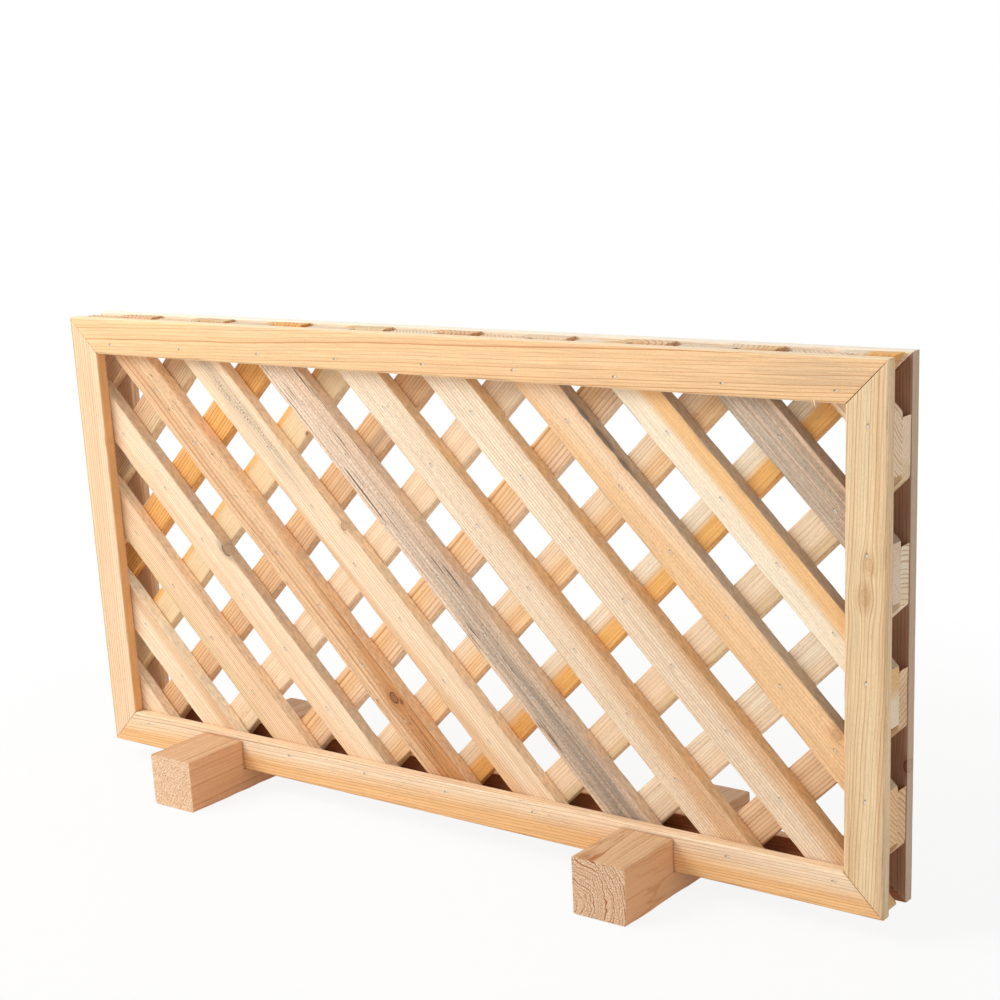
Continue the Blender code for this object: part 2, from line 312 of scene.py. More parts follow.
# How each board looks. A board's place in the order of the names picks its noise
LOOKS = {
    "front_top_rail": Look(
        "honey", "straw", band=(1, 17.2, 0.6), ring=2.7, thick=0.22, even=0.3, heart=(74, -52),
        drift=(0.03, 0.0), wander=2.6, lines=0.75, streaks=0.25, flecks=0.1, grey=0.3,
        patch=(400, 4, 45, 12, 6, 60), torn=0.2, side=(255, 232, 192), side_share=0.6, inner=0.1),
    "front_bottom_rail": Look(
        "cream", "gold", band=(-1, 2, 9), ring=2.4, thick=0.3, heart=(62, -40), drift=(0.02, 0.0),
        lines=0.8, torn=0.2, side=(238, 200, 158), side_share=0.3, inner=0.4),
    "front_left_rail": Look(
        "straw", "wheat", band=(-1, -11, 5), ring=3.1, thick=0.25, even=0.6, heart=(-90, -20), wander=0.8,
        lines=0.7, torn=0.2, knots=((-100, 17.5, -4, 2.2, 0.6),), side=(230, 172, 108), side_share=0.85,
        inner=0.5),
    "front_right_rail": Look(
        "wheat", ring=2.2, thick=0.35, even=0.3, heart=(50, -36), drift=(-0.02, 0.03), wander=4.0,
        lines=0.7, streaks=0.7, flecks=0.15, grey=0.5, patch=(225, 19, 75, 3.5, 4, 40), torn=0.3,
        knots=((-42, 0, 6, 4.0, 0.12), (-68, 3, 6, 3.0, 0.12)), inner=0.5),
    "back_top_rail": Look(
        "pale", "cream", band=(-1, 12, 4), ring=2.6, heart=(-60, 60), drift=(0.004, 0.0), wander=3.0,
        lines=0.4, torn=0.2, side=(255, 246, 230), side_share=0.7),
    "back_bottom_rail": Look(
        "straw", "honey", band=(1, 2, 6), ring=2.8, heart=(60, 50), drift=(0.006, 0.0), lines=0.7, torn=0.2,
        inner=1.0),
    "back_left_rail": Look(
        "straw", "cream", band=(-1, 0, 6), ring=2.2, heart=(-70, 20), torn=0.2, inner=0.35),
    "back_right_rail": Look(
        "tan", "ash", band=(1, 2, 6), ring=2.6, heart=(64, 30), drift=(0.01, 0.0), wander=3.0, lines=0.8,
        grey=0.25, torn=0.3, side=(186, 160, 136), side_share=0.75, inner=0.85,
        knots=((106, 17.5, 4, 3.2, 0.9),)),
    "front_slat_01": Look("cream", ring=2.6, heart=(-80, -30)),
    "front_slat_02": Look(
        "cream", "tan", band=(1, 8, 5), ring=3.2, heart=(-52, -38), drift=(0.03, 0.0), lines=0.35, grey=0.1,
        patch=(-160, 14, 200, 6, 4, 40), deepen=(-180, -80, 0.1), side=(255, 238, 208), side_share=0.9),
    "front_slat_03": Look(
        "straw", "wheat", band=(-1, -7, 5), ring=2.2, thick=0.35, even=0.85, heart=(90, -30), wander=0.8,
        lines=0.75, side=(255, 224, 184), side_share=0.6),
    "front_slat_04": Look(
        "cream", "straw", band=(-1, -4, 7), ring=2.3, thick=0.35, even=0.7, heart=(-82, -20),
        drift=(0.01, 0.0), wander=1.2, lines=0.6, side=(208, 180, 148), side_share=0.8, grey=0.8,
        patch=(-192, 17, 14, 3, 2, 12), knots=((-190, 17, 4, 4.0, 0.9),)),
    "front_slat_05": Look(
        "tan", "brown", band=(1, 4, 8), slope=-0.09, ring=3.4, thick=0.35, heart=(44, -36),
        drift=(0.02, 0.01), wander=3.5, lines=0.75, streaks=0.7, flecks=0.9, tooth=1.2, cracks=0.9,
        grey=0.9, patch=(-22, 11, 9, 1.6, 1.5, 9), specks=1.0,
        knots=((42, 7, 7, 3.6, 1.25), (50, 10, 7, 1.5, 1.0)), deepen=(0, 60, 0.12), side=(250, 212, 170),
        side_share=0.75),
    "front_slat_06": Look(
        "cream", "tan", band=(-1, -9, 4), slope=0.03, ring=2.6, even=0.7, heart=(74, -30), lines=0.5,
        grey=0.5, patch=(-310, 3, 125, 7, 6, 60), specks=0.9, knots=((-106, 16, 5, 2.4, 0.7),),
        deepen=(0, 180, 0.1), side=(252, 222, 182), side_share=0.6),
    "front_slat_07": Look(
        "ash", "rose", band=(1, 4, 7), ring=3.0, thick=0.35, heart=(-56, -32), wander=2.5, lines=0.8,
        tooth=2.4, grey=0.96, patch=(420, 3, 420, 12.5, 9, 270), specks=0.5, cracks=1.0, streaks=0.3,
        flecks=0.5, deepen=(100, 240, 0.1), side=(240, 214, 184), side_share=0.6),
    "front_slat_08": Look(
        "pale", "tan", band=(1, 14, 9), slope=-0.05, ring=2.3, thick=0.35, even=0.85, heart=(-70, -26),
        wander=0.9, lines=0.5, flecks=0.4, tooth=1.2, deepen=(-250, 250, 0.2), side=(236, 198, 150),
        side_share=0.7),
    "front_slat_09": Look(
        "pale", "tan", band=(1, 17, 8), slope=-0.03, ring=2.3, thick=0.35, even=0.85, heart=(66, -44),
        drift=(-0.006, 0.0), wander=0.9, lines=0.6, flecks=0.2, tooth=1.2, deepen=(-50, 250, 0.25),
        side=(236, 194, 140), side_share=0.7, square_cut=473),
    "front_slat_10": Look(
        "straw", "honey", band=(-1, -6, 7), slope=0.08, ring=2.6, thick=0.3, even=0.5, heart=(58, -38),
        drift=(0.01, 0.0), lines=0.42, tooth=1.1, flecks=0.4, side=(184, 164, 141), side_share=0.85,
        knots=((340, 12, 7, 3.0, 0.25),), wane=(27, 80, 1.5)),
    "front_slat_11": Look(
        "pale", "gold", band=(1, 2, 5), ring=2.4, thick=0.3, even=0.5, heart=(-74, -30), wander=1.5,
        lines=0.28, end_lines=0.2, streaks=0.05, tooth=0.8, side=(180, 160, 140), side_share=0.85),
    "front_slat_12": Look(
        "ash", "rose", band=(1, 8, 8), ring=2.6, thick=0.35, heart=(62, -54), wander=2.5, lines=0.7,
        end_lines=0.3, tooth=1.6, grey=0.64, patch=(0, -7, 3000, 22, 9, 90), specks=0.2, streaks=0.4,
        deepen=(100, 220, 0.2), side=(160, 140, 122), side_share=0.85),
    "front_slat_13": Look("cream", ring=2.6, heart=(60, -40)),
    "back_slat_01": Look("tan", ring=3.2, heart=(-70, 40)),
    "back_slat_02": Look("tan", "straw", band=(1, 9, 7), ring=3.2, thick=0.35, heart=(70, 20), lines=1.0),
    "back_slat_03": Look(
        "pale", "cream", band=(-1, -4, 8), ring=3.0, thick=0.3, heart=(-80, 12), lines=0.6, end_lines=1.0,
        side=(255, 240, 212), side_share=0.85),
    "back_slat_04": Look(
        "cream", "wheat", band=(-1, -9, 4), ring=3.2, heart=(66, 30), lines=0.4, end_lines=0.15),
    "back_slat_05": Look(
        "pale", "orange", band=(-1, 0.5, 4), ring=3.2, thick=0.3, heart=(-62, 40), lines=0.45,
        end_lines=0.15, deepen=(80, -40, 0.45)),
    "back_slat_06": Look("honey", "cream", band=(1, 1, 7), ring=3.0, thick=0.3, heart=(76, 24), lines=0.6),
    "back_slat_07": Look(
        "honey", "straw", band=(-1, -4, 7), ring=3.4, heart=(54, 44), drift=(0.01, 0.0), lines=0.8,
        side=(248, 222, 192), side_share=0.6),
    "back_slat_08": Look(
        "cream", "straw", band=(1, 12, 6), ring=2.8, thick=0.3, heart=(-70, 24), lines=0.5),
    "back_slat_09": Look(
        "tan", "honey", band=(1, 6, 8), ring=3.0, thick=0.3, heart=(60, 40), lines=0.9, grey=0.5,
        patch=(37, -8, 45, 6, 4, 40), deepen=(-600, -500, 0.15)),
    "back_slat_10": Look(
        "wheat", "orange", band=(1, 11, 4), ring=2.8, heart=(-70, 30), lines=0.2, streaks=0.15, cracks=0.4,
        knots=((-27, -15, 7, 1.2, 1.0),)),
    "back_slat_11": Look(
        "orange", "honey", band=(1, 16, 5), ring=3.0, thick=0.32, heart=(54, 36), drift=(0.01, 0.0),
        lines=0.95, streaks=0.5, tooth=0.9),
    "back_slat_12": Look(
        "wheat", "tan", band=(1, -4, 8), ring=2.8, thick=0.35, heart=(74, 22), lines=1.0, grey=0.15,
        deepen=(-40, 60, 0.2), side=(250, 216, 172), side_share=0.6),
    "back_slat_13": Look("tan", ring=3.0, heart=(62, 40)),
    "left_stand": Look(
        "stand", ring=3.4, thick=0.22, even=0.3, heart=(70, -52), drift=(0.02, 0.0), wander=1.5, lines=0.9,
        streaks=0.7, end_lines=0.4, end_shade=1.05, pores=1.0, torn=0.0, tooth=1.0, side=(236, 164, 112),
        side_share=0.4),
    "right_stand": Look(
        "stand", ring=3.0, thick=0.25, even=0.2, heart=(-34, -12), drift=(0.03, -0.02), wander=5.0,
        curl=1.5, lines=0.9, streaks=0.4, end_lines=2.0, end_shade=0.93, pores=0.9, torn=0.0, tooth=0.9,
        side=(224, 156, 100), side_share=0.4, knots=((100, 9, -16, 3.0, 1.0), (100, -15, 12, 6.0, 0.3))),
}


@dataclass
class Board:
    """A board in place: its middle, its along, across and through directions as rows, and its sizes.

    ends takes across values and gives the along values of both sawn ends. fasteners has a row for
    each one: along, across, the face it enters (1 front or up, -1 back), and 1 for a nail or 0 for
    a staple. extra_across has the places across where an end's outline bends. notch is the half
    length and the floor of a notch in the upper side. wane is the log's edge: its place along, its
    reach and its depth. inner is the face that looks onto the slats, 1 or -1 as for a fastener, or 0
    for none."""

    name: str
    body: str
    slot: str
    origin: np.ndarray
    axes: np.ndarray
    half_width: float
    half_thickness: float
    arris: float
    ends: object
    fasteners: np.ndarray
    extra_across: tuple = ()
    notch: tuple = ()
    wane: tuple = ()
    # The face between the frames takes painted shade in the material
    inner: int = 0


def layer_spacing():
    """Distance between a layer's centre lines: the run from corner to corner, shared out."""
    run = (PANEL_WIDTH + PANEL_HEIGHT) * SINE_45
    return run / (SLAT_COUNT - 1 + 2 * CORNER_SPACE_SHARE)


def layer_offsets(side):
    """How far each centre line of a layer lies from the panel's middle, square to the slats."""
    shift = FRONT_LAYER_SHIFT if side == FRONT else -BACK_LAYER_SHIFT
    return shift * SINE_45 + layer_spacing() * (np.arange(SLAT_COUNT) - (SLAT_COUNT - 1) / 2)


def panel_sizes(rail):
    """The panel's size along a rail, and its size across it."""
    sizes = (PANEL_WIDTH, PANEL_HEIGHT)
    return sizes if rail in LEVEL_RAILS else sizes[::-1]


def nail_places(side, rail):
    """Where a layer's centre lines cross a rail's nail line, as x and z from the panel's middle. On
    a centre line, z plus its lean times x is its offset over the sine of 45 degrees."""
    lean = -side
    level = rail in LEVEL_RAILS
    length, width = panel_sizes(rail)
    inset = NAIL_LINE_FROM_ENDS if level else NAIL_LINE_FROM_SIDES
    line = (width / 2 - inset) * RAILS[rail]
    sums = layer_offsets(side) / SINE_45
    places = (sums - line) / lean if level else sums - lean * line
    places = np.sort(places[np.abs(places) <= length / 2 - inset - NAIL_TO_MITRE])
    lines = np.full(len(places), line)
    return np.column_stack([places, lines] if level else [lines, places])


def rail_nails(side, rail, stray):
    """All nails of a rail: the outermost two are the frame's own, and the rest stray a little along
    the nail line."""
    places = nail_places(side, rail)
    seed = NAIL_SEED + 7 * list(RAILS).index(rail) + side
    shifts = np.random.default_rng(seed).uniform(-stray, stray, len(places))
    places[1:-1, 0 if rail in LEVEL_RAILS else 1] += shifts[1:-1]
    return places


def in_space(x_z, y):
    """Places given as x and z from the panel's middle, as points at this y."""
    return np.column_stack([x_z[:, 0], np.full(len(x_z), y), x_z[:, 1] + PANEL_MIDDLE_Z])


def fastener_rows(points, origin, axes, face, is_nail):
    """A board's fasteners at these points: along, across, the face that they enter and their kind."""
    local = (points - origin) @ axes.T
    return np.column_stack([local[:, :2], np.full((len(local), 2), (face, is_nail))])


def staple_places(stray):
    """Where staples hold the layers together: the front slat of each crossing inside the frames, and
    its x and z from the panel's middle, moved a little off the crossing."""
    front, back = np.meshgrid(np.arange(SLAT_COUNT), np.arange(SLAT_COUNT), indexing="ij")
    front_offset = layer_offsets(FRONT)[front]
    back_offset = layer_offsets(BACK)[back]
    random = np.random.default_rng(STAPLE_PLACE_SEED)
    x = (front_offset - back_offset) * SINE_45 + random.uniform(-1, 1, front.shape) * stray
    z = (front_offset + back_offset) * SINE_45 + random.uniform(-1, 1, front.shape) * stray
    margin = RAIL_WIDTH + SLAT_WIDTH / 4
    kept = (np.abs(x) < PANEL_WIDTH / 2 - margin) & (np.abs(z) < PANEL_HEIGHT / 2 - margin)
    return front[kept], np.column_stack([x[kept], z[kept]])


def rail_boards(sizes, fasteners):
    """The eight rails. A rail's ends are mitred: each end draws in by its depth from the outer edge."""
    boards = []
    near_y, far_y = (corner.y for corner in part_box("front_top_rail"))
    half_thickness = (far_y - near_y) / 2
    upright_axes = np.array([[0.0, 0.0, -1.0], [1.0, 0.0, 0.0], [0.0, -1.0, 0.0]])
    level_axes = np.array([[1.0, 0.0, 0.0], [0.0, 0.0, 1.0], [0.0, -1.0, 0.0]])
    for side in (FRONT, BACK):
        y = side * abs(near_y + far_y) / 2
        for rail, outward in RAILS.items():
            axes = level_axes if rail in LEVEL_RAILS else upright_axes
            length, width = panel_sizes(rail)
            origin = np.array([0.0, y, PANEL_MIDDLE_Z]) + axes[1] * outward * (width / 2 - RAIL_WIDTH / 2)
            opening = sizes.open_mitre if rail == "right" else 0.0

            def ends(across, length=length, outward=outward, opening=opening):
                depth = RAIL_WIDTH / 2 - outward * across
                half = length / 2 - depth - TOUCH_GAP * SINE_45 - opening
                return -half, half

            nails = rail_nails(side, rail, fasteners.stray)
            if (side, rail) == FILLED_RAIL:
                nails = nails[:0]
            rows = fastener_rows(in_space(nails, y), origin, axes, -side, 1)
            name = f"{SIDE_NAMES[side]}_{rail}_rail"
            slot = "orange_wood" if rail == "top" else "cream_wood"
            boards.append(Board(name, "panel", slot, origin, axes, RAIL_WIDTH / 2, half_thickness,
                                sizes.rail_arris, ends, rows, inner=side))
    return boards


def slat_boards(sizes, fasteners):
    """Both layers of slats. An end follows whichever edge of the trimmed outline it meets first."""
    reach_x = PANEL_WIDTH / 2 - SLAT_END_INSET
    reach_z = PANEL_HEIGHT / 2 - SLAT_END_INSET
    directions = {FRONT: np.array([[SINE_45, 0.0, -SINE_45], [SINE_45, 0.0, SINE_45], [0.0, -1.0, 0.0]]),
                  BACK: np.array([[SINE_45, 0.0, SINE_45], [-SINE_45, 0.0, SINE_45], [0.0, -1.0, 0.0]])}
    slats, staples = staple_places(fasteners.stray)
    boards = []
    for side in (FRONT, BACK):
        axes = directions[side]
        y = side * (SLAT_THICKNESS + TOUCH_GAP) / 2
        for index, offset in enumerate(layer_offsets(side)):
            name = f"{SIDE_NAMES[side]}_slat_{index + 1:02d}"
            square_cut = LOOKS[name].square_cut * MILLIMETRE or FAR_AWAY

            def ends(across, offset=offset, side=side, square_cut=square_cut):
                square = offset + across
                if side == FRONT:
                    low = np.maximum(-reach_x / SINE_45 - square, square - reach_z / SINE_45)
                    high = np.minimum(reach_x / SINE_45 - square, square + reach_z / SINE_45)
                    return low, np.minimum(high, square_cut)
                low = np.maximum(square - reach_x / SINE_45, -reach_z / SINE_45 - square)
                return low, np.minimum(reach_x / SINE_45 + square, reach_z / SINE_45 - square)

            kinks = [sign * (reach_x - reach_z) * SINE_45 for sign in (-1, 1)]
            kinks += [reach_x / SINE_45 - square_cut, square_cut - reach_z / SINE_45]
            kinks = [kink - offset for kink in kinks if abs(kink - offset) < SLAT_WIDTH / 2]
            origin = np.array([0.0, y, PANEL_MIDDLE_Z]) + axes[1] * offset
            mine = (slats == index) & (side == FRONT)
            rows = fastener_rows(in_space(staples[mine], y), origin, axes, 1, 0)
            slot = f"{SLAT_SLOTS[side][index]}_wood"
            boards.append(Board(name, "panel", slot, origin, axes, SLAT_WIDTH / 2,
                                SLAT_THICKNESS / 2, sizes.slat_arris, ends, rows, tuple(kinks),
                                wane=in_metres(LOOKS[name].wane)))
    return boards


def stand_boards(sizes):
    """The two stands, each a timber along Y with a notch across its upper side."""
    axes = np.array([[0.0, -1.0, 0.0], [1.0, 0.0, 0.0], [0.0, 0.0, 1.0]])
    boards = []
    for name in ("left_stand", "right_stand"):
        low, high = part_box(name)
        middle = (low + high) / 2
        half = (high - low) / 2

        def ends(across, reach=half.y):
            return -reach + 0 * across, reach + 0 * across

        boards.append(Board(name, name, "stand_wood", np.array(middle), axes, half.x, half.z,
                            sizes.stand_arris, ends, np.zeros((0, 4)),
                            notch=(NOTCH_HALF_WIDTH, NOTCH_FLOOR - middle.z)))
    return boards


# Board surface


def ripple(position, wavelength, seed):
    """A smooth wander between about -1 and 1: the sum of five sine waves of positions, whose lengths
    lie about the wavelength and whose phases the seed picks."""
    random = np.random.default_rng(seed)
    lengths = wavelength * random.uniform(0.5, 1.7, 5)
    phases = random.uniform(0, 2 * math.pi, 5)
    waves = np.sin(position[..., None] * 2 * math.pi / lengths + phases)
    return waves.sum(axis=-1) / 3


def spread(low, high, step):
    """Evenly spaced values from low to high, no further apart than step."""
    return np.linspace(low, high, max(2, int(math.ceil((high - low) / step)) + 1))


def thinned(lines, fixed, nearest):
    """The fixed lines, and those of the others that keep at least the nearest distance from them."""
    fixed = np.unique(np.round(fixed, 6))
    gaps = np.abs(np.asarray(lines)[:, None] - fixed[None, :]).min(axis=1)
    return np.unique(np.concatenate([fixed, np.asarray(lines)[gaps > nearest]]))


def arris_lines(half, radius):
    """Lines across a width that stand at even angles on the arcs of both its arrises."""
    arc = half - radius + radius * np.tan(np.radians([0.0, 15.0, 30.0, 45.0]))
    return np.unique(np.round(np.concatenate([-arc, arc]), 7))


def rounded(across, through, board):
    """A cross section's square corners turned into arcs: what a point has beyond the inner box keeps
    its direction, and its greater part becomes its length."""
    inner_across = np.clip(across, -board.half_width + board.arris, board.half_width - board.arris)
    inner_through = np.clip(through, -board.half_thickness + board.arris, board.half_thickness - board.arris)
    beyond_across = across - inner_across
    beyond_through = through - inner_through
    length = np.hypot(beyond_across, beyond_through)
    scale = np.maximum(np.abs(beyond_across), np.abs(beyond_through)) / np.where(length > 0, length, 1.0)
    return inner_across + beyond_across * scale, inner_through + beyond_through * scale


def shell_quads(kept):
    """The faces between kept cells and empty ones, as four lattice indices each, facing out of the
    kept cells, and the direction that each face looks along."""
    index = np.arange(np.prod(np.array(kept.shape) + 1)).reshape(np.array(kept.shape) + 1)
    padded = np.pad(kept, 1).astype(int)
    quads = []
    looks = []
    for axis in range(3):
        order = (axis, (axis + 1) % 3, (axis + 2) % 3)
        step = np.transpose(padded, order)[:, 1:-1, 1:-1]
        step = step[:-1] - step[1:]
        points = np.transpose(index, order)
        corners = np.stack([points[:, :-1, :-1], points[:, 1:, :-1],
                            points[:, 1:, 1:], points[:, :-1, 1:]], axis=-1)
        quads += [corners[step > 0], corners[step < 0][:, ::-1]]
        looks += [np.full(int((step != 0).sum()), axis)]
    return np.concatenate(quads), np.concatenate(looks)


def board_lines(board, sizes):
    """The three families of lines of a board's lattice: along, across and through.

    Those along and across crowd round each nail, so that its dent is real."""
    low, high = (float(end[0]) for end in board.ends(np.zeros(1)))
    easing = sizes.end_break
    nails = board.fasteners[board.fasteners[:, 3] == 1]
    along_fixed = [low, low + easing / 2, low + easing, high - easing, high - easing / 2, high]
    along_fixed += list((nails[:, 0:1] + NAIL_CROWD).ravel())
    across_fixed = list(arris_lines(board.half_width, board.arris)) + list(board.extra_across)
    if len(nails):
        across_fixed += list(np.median(nails[:, 1]) + NAIL_CROWD)
    through_fixed = list(arris_lines(board.half_thickness, board.arris))
    if board.notch:
        along_fixed += [-board.notch[0], board.notch[0]]
        through_fixed += [board.notch[1]]
    along = thinned(spread(low, high, sizes.station), along_fixed, sizes.station / 3)
    across = thinned(spread(-board.half_width, board.half_width, sizes.strip), across_fixed, sizes.strip / 3)
    through = spread(-board.half_thickness, board.half_thickness, sizes.strip)
    return along, across, thinned(through, through_fixed, sizes.strip / 3)


def board_surface(board, sizes, seed):
    """The outside of a board: points in board coordinates, quads, what each quad looks along, and a
    vector for each point of how far it is worn and how much of the log's edge shows there.

    A lattice of along, across and through lines fills the board. Its shell is a set of grids, each
    over two of the three. An along value is sheared near an end by as much as the sawn end departs
    from square; across and through values go onto the arrises' arcs; wear draws the arrises in by a
    wandering depth; and round each fastener the face sinks by a smooth bell of its distance."""
    along_lines, across_lines, through_lines = board_lines(board, sizes)
    kept = np.ones((len(along_lines) - 1, len(across_lines) - 1, len(through_lines) - 1), bool)
    if board.notch:
        along_middles = (along_lines[1:] + along_lines[:-1]) / 2
        through_middles = (through_lines[1:] + through_lines[:-1]) / 2
        in_notch = np.abs(along_middles) < board.notch[0]
        above = through_middles > board.notch[1]
        kept &= ~(in_notch[:, None, None] & above[None, None, :])
    quads, looks = shell_quads(kept)
    used, quads = np.unique(quads, return_inverse=True)
    quads = quads.reshape(-1, 4)
    lattice = np.meshgrid(along_lines, across_lines, through_lines, indexing="ij")
    along, across, through = (grid.ravel()[used] for grid in lattice)

    low, high = along_lines[0], along_lines[-1]
    slant_reach = min(SLANT_REACH, (high - low) / 2)
    from_low, from_high = along - low, high - along
    end_low, end_high = board.ends(across)
    along = (along + (end_low - low) * np.clip(1 - from_low / slant_reach, 0, 1)
             + (end_high - high) * np.clip(1 - from_high / slant_reach, 0, 1))

    square_across = np.abs(across) / board.half_width
    square_through = np.abs(through) / board.half_thickness
    across, through = rounded(across, through, board)

    share = np.clip(1 - np.minimum(from_low, from_high) / sizes.end_break, 0, 1)
    drawn = sizes.end_break * (1 - np.sqrt(1 - share**2))
    # Each arris has a stretch of the ripple of its own
    apart = along + 0.7 * np.sign(across) + 0.3 * np.sign(through)
    worn = np.clip(USUAL_WEAR + ripple(apart, WEAR_WAVE, seed), 0, MOST_WEAR)
    worn = worn * sizes.wear * (square_across * square_through) ** WEAR_POWER
    barked = np.zeros_like(along)
    if board.wane:
        place, reach, depth = board.wane
        close = np.clip(1 - np.abs(along - place) / reach, 0, 1)
        rugged = 0.85 + 0.2 * ripple(along, WANE_WAVE, seed)
        inward = (1 - square_across) * board.half_width * WANE_OVER_FACE
        inward = inward + (1 - square_through) * board.half_thickness * WANE_DOWN_SIDE
        barked = close**0.5 * rugged * np.clip(1 - inward / (WANE_SOFTNESS * depth), 0, 1)
        barked = barked * (across > 0) * (through > 0)
        worn = worn + barked * depth
    drawn = drawn + worn
    across = across - np.sign(across) * np.minimum(drawn, np.abs(across)) * square_across**DRAW_POWER
    through = through - np.sign(through) * np.minimum(drawn, np.abs(through)) * square_through**DRAW_POWER

    for is_nail, depth, reach in ((1, sizes.nail_dent, sizes.nail_reach),
                                  (0, sizes.staple_dent, sizes.staple_reach)):
        rows = board.fasteners[board.fasteners[:, 3] == is_nail]
        if len(rows):
            away = np.hypot(along[:, None] - rows[:, 0], across[:, None] - rows[:, 1])
            face = rows[away.argmin(axis=1), 2]
            inside = np.clip((reach - away.min(axis=1)) / (reach * DENT_SLOPE), 0, 1)
            bell = inside**2 * (3 - 2 * inside)
            facing = np.clip(face * through / board.half_thickness, 0, 1)
            through = through - face * depth * bell * facing**4
    wear = np.stack([worn / sizes.wear, barked, 0 * worn], axis=1)
    return np.stack([along, across, through], axis=1), quads, looks, wear


def new_mesh(name, points, quads, smooth=True):
    """A mesh from arrays of points and four-cornered faces. smooth is one value, or one for each."""
    mesh = bpy.data.meshes.new(name)
    mesh.vertices.add(len(points))
    mesh.vertices.foreach_set("co", np.ascontiguousarray(points, np.float32).ravel())
    mesh.loops.add(quads.size)
    mesh.loops.foreach_set("vertex_index", np.ascontiguousarray(quads, np.int32).ravel())
    mesh.polygons.add(len(quads))
    mesh.polygons.foreach_set("loop_start", np.arange(0, quads.size, 4, dtype=np.int32))
    mesh.update(calc_edges=True)
    if mesh.validate():
        raise RuntimeError(f"{name} had faces that had to be mended")
    mesh.polygons.foreach_set("use_smooth", np.full(len(quads), smooth))
    return mesh


def store(mesh, name, domain, values):
    """Keep an array of vectors on a mesh under a name."""
    layer = mesh.attributes.new(name, "FLOAT_VECTOR", domain)
    layer.data.foreach_set("vector", np.ascontiguousarray(values, np.float32).ravel())


def new_piece(name, mesh, material, body):
    """An object of this mesh that rides on a body and takes its finish from a slot."""
    mesh.materials.append(material)
    obj = bpy.data.objects.new(name, mesh)
    bpy.context.scene.collection.objects.link(obj)
    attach(obj, body)
    return obj


def nearest_fastener(board, local, quads):
    """Along and across from each quad's nearest fastener to its corners, and 0 on the face that the
    fastener enters. A corner without one has far away in all three."""
    near = np.full((quads.size, 3), FAR_AWAY)
    rows = board.fasteners
    if len(rows):
        centres = local[quads].mean(axis=1)
        away = np.hypot(centres[:, 0:1] - rows[:, 0], centres[:, 1:2] - rows[:, 1])
        chosen = rows[away.argmin(axis=1)].repeat(4, axis=0)
        corners = local[quads.ravel()]
        near[:, :2] = corners[:, :2] - chosen[:, :2]
        outer = corners[:, 2] * chosen[:, 2] > board.half_thickness * 0.5
        near[outer, 2] = 0.0
    return near


def dress_board(context, board):
    """Make a board, store on it its coordinates, its wear, what its faces look onto and its nearest
    fastener, and put it in the place of its CAD node."""
    scene = context.scene
    look = LOOKS[board.name]
    seed = sorted(LOOKS).index(board.name)
    local, quads, looks, wear = board_surface(board, scene.lattice_sizes, seed)
    mesh = new_mesh(board.name + "_wood", board.origin + local @ board.axes, quads, looks != ENDS)
    centres = local[quads].mean(axis=1)
    # Faces that look onto the slats, between the frames, take painted shade in the material
    inner = (looks == FACES) & (centres[:, 2] * board.inner > 0)
    masks = np.stack([looks == ENDS, (looks == SIDES) * np.sign(centres[:, 1]), inner], axis=1)
    store(mesh, "grain", "POINT", local)
    store(mesh, "worn", "POINT", wear)
    store(mesh, "facing", "CORNER", np.repeat(masks, 4, axis=0))
    store(mesh, "near", "CORNER", nearest_fastener(board, local, quads))
    material = wood_material(scene.lattice_wood, board, look, seed)
    piece = new_piece(board.name + "_wood", mesh, material, board.body)
    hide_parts(board.name)


# Shader nodes


def socket_name(word):
    """A socket's name from its name in the code: ring_tone is Ring Tone."""
    return word.replace("_", " ").title()


class Wire:
    """What a node's output carries. Sums and products of Wires are Math nodes in the same tree."""

    def __init__(self, wiring, socket):
        self.wiring = wiring
        self.socket = socket

    def __add__(self, other):
        return self.wiring.math("ADD", self, other)

    def __sub__(self, other):
        return self.wiring.math("SUBTRACT", self, other)

    def __rsub__(self, other):
        return self.wiring.math("SUBTRACT", other, self)

    def __mul__(self, other):
        return self.wiring.math("MULTIPLY", self, other)

    def __truediv__(self, other):
        return self.wiring.math("DIVIDE", self, other)

    def __abs__(self):
        return self.wiring.math("ABSOLUTE", self)

    def __neg__(self):
        return self * -1.0


